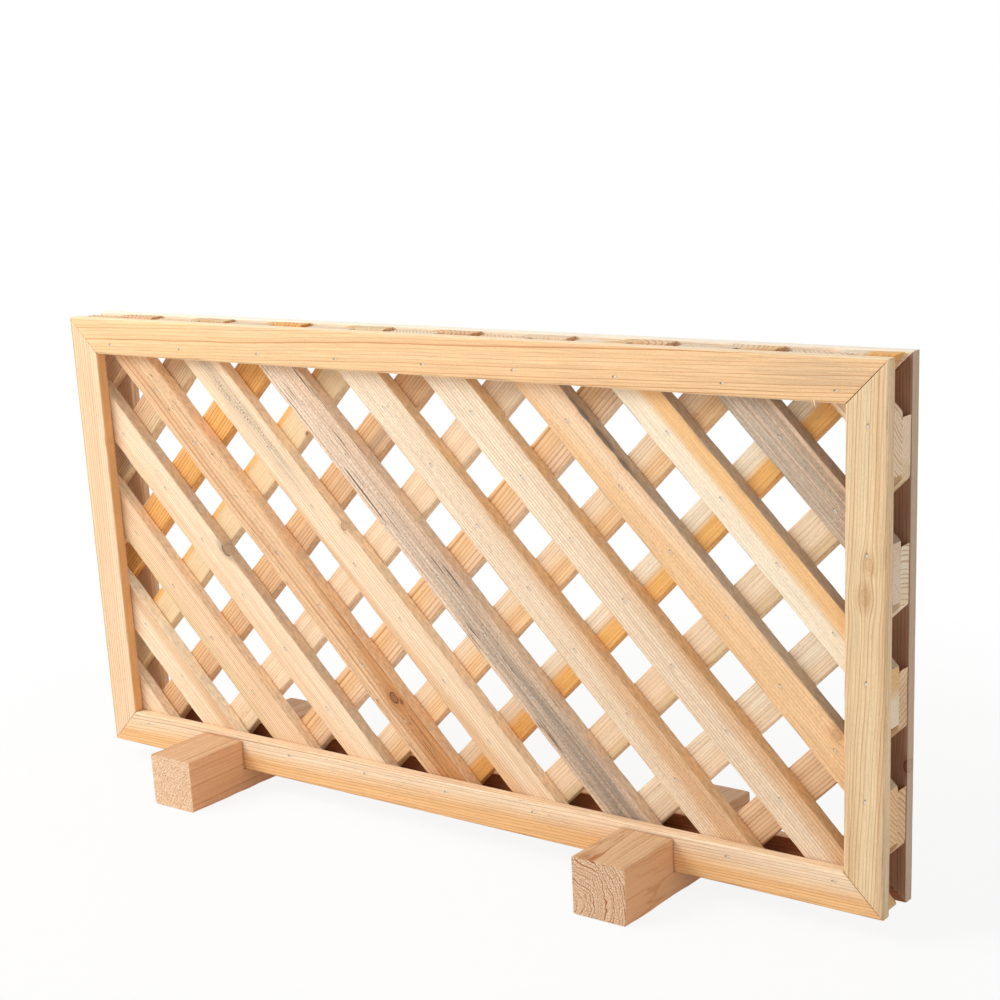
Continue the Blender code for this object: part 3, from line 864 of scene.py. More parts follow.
class Wiring:
    """Adds nodes to one tree. What is fed to a node may be a Wire, a number or a tuple. Functions
    that draw a tree know its wiring as w."""

    def __init__(self, tree):
        self.tree = tree

    def feed(self, socket, value):
        """Join a socket to a Wire, or set its value."""
        if isinstance(value, Wire):
            self.tree.links.new(value.socket, socket)
        else:
            socket.default_value = value

    def fill(self, node, **values):
        """Feed a node's inputs by their names in the code."""
        for name, value in values.items():
            self.feed(node.inputs[socket_name(name)], value)

    def results(self, node):
        """What a node's outputs carry, by their names in the code."""
        return SimpleNamespace(**{socket.name.lower().replace(" ", "_"): Wire(self, socket)
                                  for socket in node.outputs})

    def new(self, kind, **settings):
        """A new shader node with these settings."""
        node = self.tree.nodes.new(f"ShaderNode{kind}")
        for setting, value in settings.items():
            setattr(node, setting, value)
        return node

    def node(self, kind, *values, **settings):
        """What a new node puts out first, with its inputs fed in order."""
        node = self.new(kind, **settings)
        for socket, value in zip(node.inputs, values):
            self.feed(socket, value)
        return Wire(self, node.outputs[0])

    def math(self, operation, *values):
        """A Math node's result."""
        return self.node("Math", *values, operation=operation)

    def vector(self, operation, *values):
        """A Vector Math node's vector."""
        return self.node("VectorMath", *values, operation=operation)

    def length(self, vector):
        """A vector's length."""
        node = self.new("VectorMath", operation="LENGTH")
        self.feed(node.inputs[0], vector)
        return self.results(node).value

    def parts(self, vector):
        """The three parts of a vector."""
        node = self.new("SeparateXYZ")
        self.feed(node.inputs[0], vector)
        return [Wire(self, socket) for socket in node.outputs]

    def join(self, *values):
        """A vector of these parts."""
        return self.node("CombineXYZ", *values)

    def ramp(self, value, low, high, to_low=0.0, to_high=1.0):
        """A value eased from one range to another, and held at its ends."""
        return self.node("MapRange", value, low, high, to_low, to_high, interpolation_type="SMOOTHSTEP")

    def noise(self, place, scale, offset=(0.0, 0.0, 0.0), detail=2.0, roughness=0.5):
        """Noise from 0 to 1 that swings about scale times in a metre along, across and through."""
        node = self.new("TexNoise")
        moved = self.vector("MULTIPLY_ADD", place, scale, offset)
        self.fill(node, vector=moved, scale=1.0, detail=detail, roughness=roughness)
        return Wire(self, node.outputs[0])

    def mix(self, share, first, second, blend="MIX"):
        """Two colours mixed."""
        node = self.new("Mix", data_type="RGBA", blend_type=blend)
        for number, value in ((0, share), (6, first), (7, second)):
            self.feed(node.inputs[number], value)
        return Wire(self, node.outputs[2])

    def attribute(self, name):
        """A vector stored on the mesh."""
        return self.results(self.new("Attribute", attribute_name=name)).vector

    def place(self):
        """Where a point is on the object."""
        return self.results(self.new("TexCoord")).object

    def group(self, tree, **values):
        """What a node of this group puts out, with its inputs fed by their names in the code."""
        node = self.new("Group", node_tree=tree)
        self.fill(node, **values)
        return self.results(node)


def new_group(name, inputs, outputs):
    """An empty node group, as its wiring, what its inputs carry, and its output node. Inputs and
    outputs are given by kind, with the names of one kind in one string."""
    tree = bpy.data.node_groups.new(name, "ShaderNodeTree")
    for direction, kinds in (("INPUT", inputs), ("OUTPUT", outputs)):
        for kind, words in kinds.items():
            for word in words.split():
                tree.interface.new_socket(socket_name(word), in_out=direction,
                                          socket_type=f"NodeSocket{kind}")
    w = Wiring(tree)
    return w, w.results(tree.nodes.new("NodeGroupInput")), tree.nodes.new("NodeGroupOutput")


def grain_noise(w, given, along, round_it, detail=2.0, roughness=0.5):
    """Noise that swings about so many times in a metre along the grain and round it."""
    return w.noise(given.grain, (along, round_it, round_it), given.offset, detail, roughness)


def rings_group():
    """Growth rings: distance from a heart line, plus a slow wander, over the ring width. Within a
    ring the tone darkens slowly and ends at once, and each ring has its own strength."""
    w, given, out = new_group("Growth rings", {
        "Vector": "grain heart drift offset", "Float": "ring thick even wander curl seed"},
        {"Float": "late_wood ring_tone"})
    along, across, through = w.parts(given.grain)
    _, heart_across, heart_through = w.parts(given.heart)
    _, drift_across, drift_through = w.parts(given.drift)
    from_across = across - (along * drift_across + heart_across)
    from_through = through - (along * drift_through + heart_through)
    slow = grain_noise(w, given, 4.5, 12.0) - 0.5
    quick = grain_noise(w, given, 12.0, 90.0) - 0.5
    wander = slow * 2.0 + quick * given.curl
    ring = (wander * given.wander + w.length(w.join(0.0, from_across, from_through))) / given.ring
    crowding = w.new("TexNoise", noise_dimensions="1D")
    w.fill(crowding, w=ring * 0.31 + given.seed, scale=1.0)
    uneven = 1.0 - given.even
    ring = Wire(w, crowding.outputs[0]) * (uneven * 1.8) + ring
    inside = w.math("FRACT", ring)
    strength = w.new("TexWhiteNoise", noise_dimensions="1D")
    w.fill(strength, w=w.math("FLOOR", ring) + given.seed)
    strength = Wire(w, strength.outputs[0])
    rise = w.ramp(inside, 0.92 - given.thick, 0.92)
    fall = w.ramp(inside, 0.94, 1.0, 1.0, 0.0)
    tone = w.ramp(strength, 0.0, 1.0, 1.0 - uneven * 0.9, 1.0)
    w.fill(out, late_wood=rise * fall * tone, ring_tone=strength)
    return w.tree


def fibre_group():
    """Fibres: noise drawn out along the grain, broad as streaks, fine as fibres and short as the
    tooth of sawn wood, and cut off high up as cracks and as flecks that gather here and there."""
    w, given, out = new_group("Fibres", {"Vector": "grain offset"},
                              {"Float": "streak fibre crack fleck tooth"})
    split = w.ramp(grain_noise(w, given, 14.0, 520.0, 1.0), 0.66, 0.70)
    where = w.ramp(grain_noise(w, given, 11.0, 60.0, 1.0), 0.52, 0.60)
    dash = w.ramp(grain_noise(w, given, 130.0, 900.0, 1.0), 0.64, 0.72)
    flock = w.ramp(grain_noise(w, given, 12.0, 60.0), 0.42, 0.66)
    w.fill(out, streak=grain_noise(w, given, 2.0, 110.0, 3.0, 0.55),
           fibre=grain_noise(w, given, 22.0, 900.0, 3.0, 0.6),
           tooth=grain_noise(w, given, 330.0, 1000.0, 2.0, 0.7), crack=split * where, fleck=dash * flock)
    return w.tree


def knot_group():
    """A knot: an oval heart with a dark rim and rings of its own, round which the grain bows out."""
    w, given, out = new_group("Knot", {"Vector": "grain place offset", "Float": "radius darkness"},
                              {"Vector": "bent_grain", "Float": "heart rim glow"})
    along, _, through = w.parts(given.grain)
    away = w.vector("SUBTRACT", given.grain, given.place)
    shares = w.vector("DIVIDE", away, given.radius)
    oval = w.length(w.vector("MULTIPLY", shares, (0.62, 1.0, 0.35)))
    uneven = grain_noise(w, given, 260.0, 260.0) - 0.5
    reach = uneven * 0.5 + oval
    wide = w.length(w.vector("MULTIPLY", shares, (0.26, 0.42, 0.16)))
    pull = w.math("EXPONENT", -(wide * wide)) * 0.82
    _, from_across, _ = w.parts(away)
    _, knot_across, _ = w.parts(given.place)
    bent_across = from_across * (1.0 - pull) + knot_across
    heart = w.ramp(reach, 0.80, 1.05, 1.0, 0.0)
    rim = w.ramp(reach, 0.78, 0.92) * w.ramp(reach, 1.02, 1.20, 1.0, 0.0)
    circles = w.ramp(w.math("SINE", reach * 17.0), 0.0, 1.0) * w.ramp(reach, 0.75, 0.9, 0.6, 0.0)
    w.fill(out, bent_grain=w.join(along, bent_across, through), heart=heart * given.darkness,
           rim=w.math("MAXIMUM", rim, circles) * given.darkness, glow=w.ramp(reach, 1.0, 3.0, 1.0, 0.0))
    return w.tree


def band_group():
    """A band: everything on one side of a line along the board, whose edge wanders with the grain."""
    w, given, out = new_group("Band", {"Vector": "grain band offset", "Float": "slope"}, {"Float": "band"})
    along, across, _ = w.parts(given.grain)
    side, place, softness = w.parts(given.band)
    moved = (grain_noise(w, given, 3.0, 70.0) - 0.5) * (softness * 1.6) + across
    beyond = (moved - (along * given.slope + place)) * side
    w.fill(out, band=w.ramp(beyond, -softness, softness))
    return w.tree


def patch_group():
    """A patch: 1 near a place on the board and 0 beyond its reach, with edges that follow the grain."""
    w, given, out = new_group("Patch", {"Vector": "grain place reach offset"}, {"Float": "patch"})
    along, across, _ = w.parts(given.grain)
    middle_along, middle_across, softness = w.parts(given.place)
    reach_along, reach_across, long_softness = w.parts(given.reach)
    push = (grain_noise(w, given, 7.0, 110.0, 3.0, 0.6) - 0.5) * (softness * 3.0)
    beyond = abs(across - middle_across) - reach_across + push
    within = w.ramp(beyond, -softness, softness, 1.0, 0.0)
    beyond = abs(along - middle_along) - reach_along + push * 8.0
    w.fill(out, patch=within * w.ramp(beyond, -long_softness, long_softness, 1.0, 0.0))
    return w.tree


def weather_group():
    """Weathering: grey in clouds and in stripes along the grain, and fine dark specks of mould in it."""
    w, given, out = new_group("Weathering", {"Vector": "grain offset", "Float": "patch late_wood"},
                              {"Float": "grey specks"})
    cloud = w.ramp(grain_noise(w, given, 6.0, 70.0, 4.0, 0.6), 0.15, 0.50)
    stripes = w.ramp(grain_noise(w, given, 5.0, 420.0, 2.0, 0.6), 0.34, 0.58)
    grey = cloud * w.ramp(stripes, 0.0, 1.0, 0.5, 1.0) * given.patch
    dots = w.ramp(grain_noise(w, given, 520.0, 1100.0), 0.50, 0.66)
    patches = w.ramp(grain_noise(w, given, 14.0, 90.0), 0.38, 0.58)
    w.fill(out, grey=grey * w.ramp(given.late_wood, 0.0, 1.0, 1.0, 0.45), specks=dots * patches * given.patch)
    return w.tree


def sawn_group():
    """A sawn face: fine pores, and ridges that the saw leaves across the face."""
    w, given, out = new_group("Sawn face", {"Vector": "grain offset"}, {"Float": "pores saw"})
    _, across, through = w.parts(given.grain)
    swing = w.noise(given.grain, (30.0, 30.0, 60.0), given.offset)
    ridge = through * 1600.0 + across * 260.0
    w.fill(out, pores=grain_noise(w, given, 500.0, 950.0, 2.0, 0.7), saw=w.math("SINE", swing * 7.0 + ridge))
    return w.tree


def stain_group():
    """A stain round the nearest fastener, drawn out along the grain, and the dark pit at one end."""
    w, given, out = new_group("Fastener stain", {"Vector": "near offset"}, {"Float": "stain pit"})
    along, across, far = w.parts(given.near)
    uneven = w.noise(given.near, (300.0, 500.0, 0.0), given.offset) - 0.5
    away = w.length(w.join(along * 0.5, across)) + far + uneven * 0.0012
    from_pit = w.length(w.join(along + 0.0021, across)) + far
    w.fill(out, stain=w.ramp(away, 0.0007, 0.0020, 1.0, 0.0), pit=w.ramp(from_pit, 0.0005, 0.0012, 1.0, 0.0))
    return w.tree


# The numbers and tones that every look gives to the timber group as they are
LOOK_NUMBERS = ("slope thick even curl lines end_lines end_shade pores torn streaks flecks tooth grey specks "
                "cracks side_share inner")
SHARED_TONES = ("late", "knot", "grime", "stain", "inner", "bark")


def timber_group():
    """The finish of a board: its tone and second tone, streaks, growth rings, knots, cracks,
    weathering, worn arrises, sawn ends and stains, and painted light and shade along it, on its
    sides and on the face between the frames, as a colour, a roughness and a height."""
    w, given, out = new_group("Timber", {
        "Color": "tone second_tone side_tone " + " ".join(f"{name}_tone" for name in SHARED_TONES),
        "Vector": "heart drift band patch_place patch_reach deepen knot_a knot_b offset",
        "Float": "ring wander radius_a radius_b darkness_a darkness_b seed " + LOOK_NUMBERS},
        {"Color": "color", "Float": "roughness height"})
    grain = w.attribute("grain")
    sawn, side, inner = w.parts(w.attribute("facing"))
    worn, bark, _ = w.parts(w.attribute("worn"))
    sides = abs(side)
    knot_tree = knot_group()
    first = w.group(knot_tree, grain=grain, place=given.knot_a, radius=given.radius_a,
                    darkness=given.darkness_a, offset=given.offset)
    second = w.group(knot_tree, grain=first.bent_grain, place=given.knot_b, radius=given.radius_b,
                     darkness=given.darkness_b, offset=given.offset)
    on_grain = {"grain": second.bent_grain, "offset": given.offset}
    rings = w.group(rings_group(), heart=given.heart, drift=given.drift, ring=given.ring, thick=given.thick,
                    even=given.even, wander=given.wander, curl=given.curl, seed=given.seed, **on_grain)
    fibres = w.group(fibre_group(), **on_grain)
    band = w.group(band_group(), band=given.band, slope=given.slope, **on_grain).band
    patch = w.group(patch_group(), place=given.patch_place, reach=given.patch_reach, **on_grain).patch
    weather = w.group(weather_group(), patch=patch, late_wood=rings.late_wood, **on_grain)
    ends = w.group(sawn_group(), grain=grain, offset=given.offset)
    marks = w.group(stain_group(), near=w.attribute("near"), offset=given.offset)
    heart = w.math("MAXIMUM", first.heart, second.heart)
    rim = w.math("MAXIMUM", first.rim, second.rim)
    glow = w.math("MAXIMUM", first.glow, second.glow)

    def times(colour, shade, share=1.0):
        """A colour multiplied by a shade, by this share."""
        return w.mix(share, colour, shade, "MULTIPLY")

    def deeper(colour, share):
        """A colour taken towards that of the dark lines."""
        return times(colour, given.late_tone, share)

    def stained(colour, share):
        """A colour taken towards the stain's."""
        return w.mix(share, colour, given.stain_tone)

    late = rings.late_wood * given.lines
    greyed = weather.grey * given.grey
    plain = w.mix(band, given.tone, given.second_tone)
    colour = deeper(plain, w.ramp(fibres.streak, 0.28, 0.62, 1.0, 0.0) * given.streaks * 0.62)
    colour = deeper(colour, rings.ring_tone * (given.lines * 0.20))
    colour = deeper(colour, glow * 0.40)
    colour = deeper(colour, late)
    colour = deeper(colour, late * 0.45)
    colour = w.mix(greyed, colour, given.grime_tone)
    colour = deeper(colour, late * greyed)
    colour = stained(colour, fibres.fleck * given.flecks)
    colour = times(colour, w.ramp(fibres.fibre, 0.27, 0.73, 0.87, 1.07))
    gritty = w.ramp(fibres.tooth, 0.30, 0.70, -1.0, 0.6) * given.tooth
    cool = gritty * 0.12 + 1.0
    colour = times(colour, w.join(gritty * 0.09 + 1.0, cool, cool))
    colour = stained(colour, weather.specks * given.specks)
    colour = w.mix(heart * 0.50, colour, given.knot_tone)
    colour = times(colour, given.knot_tone, rim * 0.75)
    colour = stained(colour, rim * 0.35)
    crack = fibres.crack * given.cracks
    colour = stained(colour, crack * 0.85)
    # The sides' tone: partly their own sawn wood, partly painted light and shade
    colour = w.mix(sides * given.side_share, colour, given.side_tone)
    torn = w.noise(grain, (150.0, 420.0, 420.0), detail=4.0, roughness=0.65)
    rough_sides = sides * given.torn
    colour = w.mix(rough_sides, colour, times(colour, w.ramp(torn, 0.30, 0.66, 0.82, 1.14)))
    # Painted shade: the wood darkens towards one end of the board, where the light falls off
    starts, stops, depth = w.parts(given.deepen)
    along, _, _ = w.parts(grain)
    colour = deeper(colour, w.ramp(along, starts, stops) * depth)
    colour = deeper(colour, w.ramp(worn, 0.2, 1.0) * 0.30)
    colour = w.mix(w.ramp(torn * 0.3 + bark, 0.45, 0.75), colour, given.bark_tone)
    # Painted shade on the face between the frames, where shade falls
    colour = times(colour, given.inner_tone, inner * given.inner)
    porous = times(plain, given.end_shade)
    porous = deeper(porous, w.ramp(ends.pores, 0.40, 0.49, 1.0, 0.0) * given.pores)
    porous = w.mix(w.ramp(ends.pores, 0.50, 0.60) * (given.pores * 0.5), porous, (1.0, 0.92, 0.82, 1.0))
    end_late = rings.late_wood * given.end_lines
    porous = deeper(deeper(porous, end_late), end_late * 0.6)
    colour = w.mix(sawn, colour, porous)
    colour = stained(colour, w.math("MAXIMUM", marks.stain * 0.20, marks.pit * 0.62))

    roughness = fibres.fibre * 0.16 + 0.60 - late * 0.10 + sawn * 0.15
    height = late * 0.35 + fibres.fibre * 0.55 + fibres.tooth * given.tooth * 0.8 - crack * 1.6
    height = height + rough_sides * torn * 1.1 - rim * 0.5
    rugged = ends.saw * 0.22 + ends.pores * 1.2
    w.fill(out, color=colour, roughness=roughness, height=sawn * (rugged - height) + height)
    return w.tree


def new_material(name):
    """A new material, as itself, its wiring and its shader."""
    material = bpy.data.materials.new(name)
    material.use_nodes = True
    return material, Wiring(material.node_tree), material.node_tree.nodes["Principled BSDF"]


def solid(tone):
    """A colour with its fourth part, which shader sockets want."""
    return (*tone, 1.0)


def wood_material(wood, board, look, seed):
    """The material of one board: the shared timber group with this board's own look."""
    material, w, shader = new_material(board.name + "_wood")
    values = {name: getattr(look, name) for name in LOOK_NUMBERS.split()}
    for name in SHARED_TONES:
        values[f"{name}_tone"] = solid(getattr(wood, name))
    for letter, (*place, radius, darkness) in zip("ab", (*look.knots, NO_KNOT, NO_KNOT)):
        values[f"knot_{letter}"] = in_metres(place)
        values[f"radius_{letter}"] = radius * MILLIMETRE
        values[f"darkness_{letter}"] = darkness
    band_side, *band_line = look.band
    along, across, reach_along, reach_across, softness, long_softness = look.patch
    timber = w.group(
        bpy.data.node_groups.get("Timber") or timber_group(), tone=solid(getattr(wood, look.tone)),
        second_tone=solid(getattr(wood, look.second or look.tone)), side_tone=solid(screen(*look.side)),
        heart=(0.0, *in_metres(look.heart)), drift=(0.0, *look.drift),
        deepen=(*in_metres(look.deepen[:2]), look.deepen[2]),
        band=(band_side, *in_metres(band_line)), patch_place=in_metres((along, across, softness)),
        patch_reach=in_metres((reach_along, reach_across, long_softness)),
        ring=look.ring * MILLIMETRE, wander=look.wander * MILLIMETRE, seed=float(seed),
        offset=tuple(seed * step for step in SEED_STEPS), **values)
    bump = w.new("Bump")
    w.fill(bump, strength=BUMP_STRENGTH, distance=BUMP_DEPTH, height=timber.height)
    w.fill(shader, base_color=timber.color, roughness=timber.roughness, normal=w.results(bump).normal)
    shader.inputs["Specular IOR Level"].default_value = WOOD_SPECULAR
    return material


def speckled_material(name, speckles, tones, wholly, roughness, metallic=0.0):
    """Two tones that turn into each other in fine speckles, so many a metre, and a roughness that
    goes along with them. Noise above wholly has the second tone alone."""
    material, w, shader = new_material(name)
    speckle = w.noise(w.place(), (speckles,) * 3, detail=3.0)
    w.fill(shader, base_color=w.mix(w.ramp(speckle, 0.35, wholly), *map(solid, tones)),
           roughness=w.ramp(speckle, 0.3, 0.7, *roughness), metallic=metallic)
    return material


def steel_material(name, colour):
    """Bright wire: a steel whose tone and gloss change in small blotches of zinc."""
    dull = tuple(part * 0.6 for part in colour)
    return speckled_material(name, 1400.0, (colour, dull), 0.70, (0.28, 0.55), metallic=1.0)


# Fasteners


def copies(moved, quads):
    """One shape's moved copies as one list of points, with its quads numbered for each of them."""
    count, size, _ = moved.shape
    numbered = quads + np.arange(count)[:, None, None] * size
    return moved.reshape(-1, 3), numbered.reshape(-1, 4)


def closed_tube(rings, sides):
    """Quads of a tube of rings of points, closed at both ends by a row of quads over the ring."""
    index = np.arange(rings * sides).reshape(rings, sides)
    around = np.roll(index, -1, axis=1)
    walls = np.stack([index[:-1], around[:-1], around[1:], index[1:]], axis=-1).reshape(-1, 4)
    low = np.arange(sides // 2 - 1)
    cap = np.stack([low, low + 1, sides - 2 - low, sides - 1 - low], axis=1)
    return np.concatenate([walls[:, ::-1], cap, (cap + (rings - 1) * sides)[:, ::-1]])


def nail_shape(fasteners, sides):
    """A nail as an outline turned about its axis: a low domed head, a shank and a point. Each row of
    the outline is a radius and a height; both ends are rings as small as a pinhead."""
    head = fasteners.head_radius
    thick = fasteners.head_thickness
    shank = fasteners.shank_radius
    length = fasteners.nail_length
    pinhead = 0.02 * MILLIMETRE
    dome = 0.12 * MILLIMETRE
    point = 2 * MILLIMETRE
    outline = np.array([(pinhead, dome), (head * 0.6, dome * 0.75), (head * 0.92, 0.0), (head, -thick * 0.4),
                        (head * 0.94, -thick), (shank, -thick), (shank, -length + point), (pinhead, -length)])
    angles = np.arange(sides) * 2 * math.pi / sides
    radius, height = outline[:, 0:1], outline[:, 1:2]
    return np.stack([radius * np.cos(angles), radius * np.sin(angles), height + 0 * angles], axis=-1)


def make_nails(context, side):
    """The nails of one frame that the CAD leaves to the scene, as one piece. The front left rail
    shows none: it is held by its outermost two alone."""
    fasteners = context.scene.lattice_fasteners
    face = max(abs(corner.y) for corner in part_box("front_top_rail")) - NAIL_HEAD_SINK
    shape = nail_shape(fasteners, NAIL_SIDES)
    points = shape.reshape(-1, 3)
    turned = np.stack([points[:, 0], points[:, 2] * side, -side * points[:, 1]], axis=1)
    rails = [rail for rail in RAILS if (side, rail) != FILLED_RAIL]
    inner = np.concatenate([rail_nails(side, rail, fasteners.stray)[1:-1] for rail in rails])
    places = in_space(inner, side * face)
    made, faces = copies(turned + places[:, None], closed_tube(len(shape), NAIL_SIDES))
    name = f"{SIDE_NAMES[side]}_frame_nails"
    mesh = new_mesh(name, made, faces, smooth=False)
    material = steel_material(name, tuple(fasteners.steel))
    new_piece(name, mesh, material, "panel")


def make_staples(context):
    """The staples at the crossings of the slats, as one piece.

    A flat rectangular section is carried along a square-cornered path: down one leg, over the crown
    and down the other. Each staple is turned a little off the slat's own direction."""
    fasteners = context.scene.lattice_fasteners
    _, places = staple_places(fasteners.stray)
    half = fasteners.crown / 2
    thick = fasteners.wire_thickness
    wide = fasteners.wire_width / 2
    corner = thick * 0.4
    bend = 0.2 * MILLIMETRE
    outer = np.array([(-half, -fasteners.leg), (-half, -thick), (-half + corner, 0.0),
                      (half - corner, 0.0), (half, -thick), (half, -fasteners.leg)])
    inner = outer + np.array([(thick, 0.0), (thick, -bend), (thick * 0.6, -thick), (-thick * 0.6, -thick),
                              (-thick, -bend), (-thick, 0.0)])
    edges = ((outer, -wide), (outer, wide), (inner, wide), (inner, -wide))
    section = np.stack([np.column_stack([path[:, 0], np.full(len(path), edge), path[:, 1]])
                        for path, edge in edges], axis=1)
    shape = section.reshape(-1, 3)
    random = np.random.default_rng(STAPLE_TURN_SEED)
    turns = random.uniform(-STAPLE_TURN, STAPLE_TURN, len(places)) - math.pi / 4
    dent = context.scene.lattice_sizes.staple_dent
    proud = random.uniform(*STAPLE_LIFT, len(places)) - dent * STAPLE_SINK + thick * STAPLE_PROUD
    cosines, sines = np.cos(turns)[:, None], np.sin(turns)[:, None]
    x = shape[:, 0] * cosines - shape[:, 1] * sines + places[:, 0:1]
    z = shape[:, 0] * sines + shape[:, 1] * cosines + places[:, 1:2] + PANEL_MIDDLE_Z
    face = -(SLAT_THICKNESS + TOUCH_GAP / 2)
    made = np.stack([x, face - proud[:, None] - shape[:, 2], z], axis=-1)
    points, faces = copies(made, closed_tube(*section.shape[:2]))
    mesh = new_mesh("staples", points, faces, smooth=False)
    material = steel_material("staples", tuple(fasteners.steel))
    new_piece("staples", mesh, material, "panel")


# Where wood is torn: a root, the way it points, and its length, width and bend in millimetres
SPLINTERS = (
    ((0.3886, -0.0262, 0.4385), (0.12, -0.10, -1.0), 6.2, 1.3, 0.9),
    ((0.3866, -0.0256, 0.4384), (-0.25, -0.1, -1.0), 3.6, 0.8, 0.5),
    ((-0.4128, -0.0139, 0.2434), (-0.45, -0.8, -0.45), 6.0, 1.0, 1.8),
    ((-0.4116, -0.0139, 0.2422), (-0.15, -0.8, -0.60), 6.4, 1.0, -1.2),
    ((-0.4104, -0.0138, 0.2410), (0.35, -0.7, -0.45), 4.8, 0.9, 0.9),
    ((0.4425, -0.0021, 0.0270), (0.62, 0.25, -0.72), 3.2, 1.1, 0.3),
    ((0.4440, -0.0052, 0.0285), (0.66, 0.05, -0.60), 2.6, 0.9, -0.3),
)


def make_splinters(context):
    """Torn fibres that stand off the wood, as one piece.

    Each is a flat four-sided section carried along a bent path: the root, plus its length along its
    direction, plus a bend that grows with the square of the way. The section shrinks to a tip."""
    way = np.linspace(0.0, 1.0, 7)[:, None]
    corners = np.array([(-0.5, -0.15), (0.5, -0.15), (0.5, 0.15), (-0.5, 0.15)])
    tip = 0.03 * MILLIMETRE
    shapes = []
    for root, direction, length, width, bend in SPLINTERS:
        ahead = unit(direction)
        level = unit(np.cross(ahead, (0.0, 1.0, 0.0)))
        rise = np.cross(level, ahead)
        path = np.array(root) + (way * length * ahead + way**2 * bend * level) * MILLIMETRE
        size = width * MILLIMETRE * (1.0 - way) ** 0.6 + tip
        section = corners[:, 0:1] * level + corners[:, 1:2] * rise
        shapes.append((path[:, None, :] + size[:, None, :] * section[None]).reshape(-1, 3))
    points, faces = copies(np.stack(shapes), closed_tube(len(way), len(corners)))
    mesh = new_mesh("splinters", points, faces)
    wood = context.scene.lattice_wood
    material = speckled_material("splinters", 1500.0, (wood.cream, wood.honey), 0.65, (0.6, 0.8))
    new_piece("splinters", mesh, material, "panel")


# Stage


# Each lamp's name, where it stands, what it faces, the length of its sides and its colour
LAMPS = (
    ("key", (-1.35, -1.4, 1.85), (-0.1, 0.0, 0.25), 1.5, (1.0, 0.99, 0.975)),
    ("fill", (2.1, -1.1, 0.45), (0.0, 0.0, 0.25), 1.2, (1.0, 0.98, 0.96)),
    ("back", (-0.9, 2.1, 0.6), (0.0, 0.0, 0.25), 1.4, (1.0, 0.98, 0.95)),
)
CAMERA_PLACE = (1.09392, -1.34118, 0.69668)
CAMERA_YAW = 0.67729
CAMERA_PITCH = 0.29975
CAMERA_ROLL = -0.05591
CAMERA_SHIFT = (0.0347, 0.1662)
FLOOR_REACH = 20.0
FLOOR_LINES = 9
# How far from the middle the floor starts and stops fading, and how much white shows through there
FLOOR_FADE = (0.50, 0.95)
FLOOR_WHITE = (0.88, 1.0)


def set_up(name, data, place, right, up, ahead):
    """A lamp or camera at a place, looking ahead with these directions at its right and above it."""
    obj = bpy.data.objects.new(name, data)
    obj.matrix_world = Matrix.Translation(place) @ Matrix((right, up, -ahead)).transposed().to_4x4()
    bpy.context.scene.collection.objects.link(obj)
    return obj


def make_lamps(stage):
    """Three large square lamps, each facing a target."""
    for name, place, target, size, colour in LAMPS:
        data = bpy.data.lights.new(name, "AREA")
        data.shape = "SQUARE"
        data.size = size
        data.energy = getattr(stage, f"{name}_power")
        data.color = colour
        ahead = unit(np.array(target) - np.array(place))
        right = unit(np.cross(ahead, (0.0, 0.0, 1.0)))
        lamp = set_up(name, data, place, right, np.cross(right, ahead), ahead)
        lamp.visible_camera = False


def make_camera(stage):
    """A camera where the photograph was taken from."""
    data = bpy.data.cameras.new("camera")
    data.sensor_width = 36.0
    data.lens = stage.lens / MILLIMETRE
    data.shift_x, data.shift_y = CAMERA_SHIFT
    level = math.cos(CAMERA_PITCH)
    ahead = np.array([-math.sin(CAMERA_YAW) * level, math.cos(CAMERA_YAW) * level, -math.sin(CAMERA_PITCH)])
    right = np.array([math.cos(CAMERA_YAW), math.sin(CAMERA_YAW), 0.0])
    up = np.cross(right, ahead)
    rolled_right = math.cos(CAMERA_ROLL) * right + math.sin(CAMERA_ROLL) * up
    rolled_up = -math.sin(CAMERA_ROLL) * right + math.cos(CAMERA_ROLL) * up
    bpy.context.scene.camera = set_up("camera", data, CAMERA_PLACE, rolled_right, rolled_up, ahead)


def seen_directly(w):
    """1 for what the camera, a mirror or glass looks at, and 0 for what lights the scene."""
    path = w.results(w.new("LightPath"))
    seen = w.math("MAXIMUM", path.is_camera_ray, path.is_glossy_ray)
    return w.math("MAXIMUM", seen, path.is_transmission_ray)


def make_world(stage):
    """White where it is seen, and an even soft light otherwise."""
    world = bpy.data.worlds.new("studio")
    world.use_nodes = True
    bpy.context.scene.world = world
    w = Wiring(world.node_tree)
    strength = seen_directly(w) * (1.0 - stage.world_strength) + stage.world_strength
    w.fill(world.node_tree.nodes["Background"], color=(1.0, 1.0, 1.0, 1.0), strength=strength)


def floor_material(stage):
    """A pale floor that keeps the panel's shadow and lets the white round it show through, more and
    more further off. It lets light through downwards too, so a stand pulled below it stays lit."""
    material, w, shader = new_material("floor")
    material.node_tree.nodes.remove(shader)
    paper = w.ramp(w.noise(w.place(), (40.0, 40.0, 40.0), detail=4.0), 0.3, 0.7, 0.985, 1.0)
    matt = w.node("BsdfDiffuse", w.mix(1.0, solid(stage.floor), paper, "MULTIPLY"))
    x, y, _ = w.parts(w.place())
    share = w.ramp(w.length(w.join(x, y)), *FLOOR_FADE, *FLOOR_WHITE)
    from_below = w.results(w.new("NewGeometry")).backfacing
    lights_below = w.results(w.new("LightPath")).is_shadow_ray * from_below
    shown = w.math("MAXIMUM", share * seen_directly(w), lights_below)
    surface = w.node("MixShader", shown, matt, w.node("BsdfTransparent"))
    w.fill(material.node_tree.nodes["Material Output"], surface=surface)
    return material


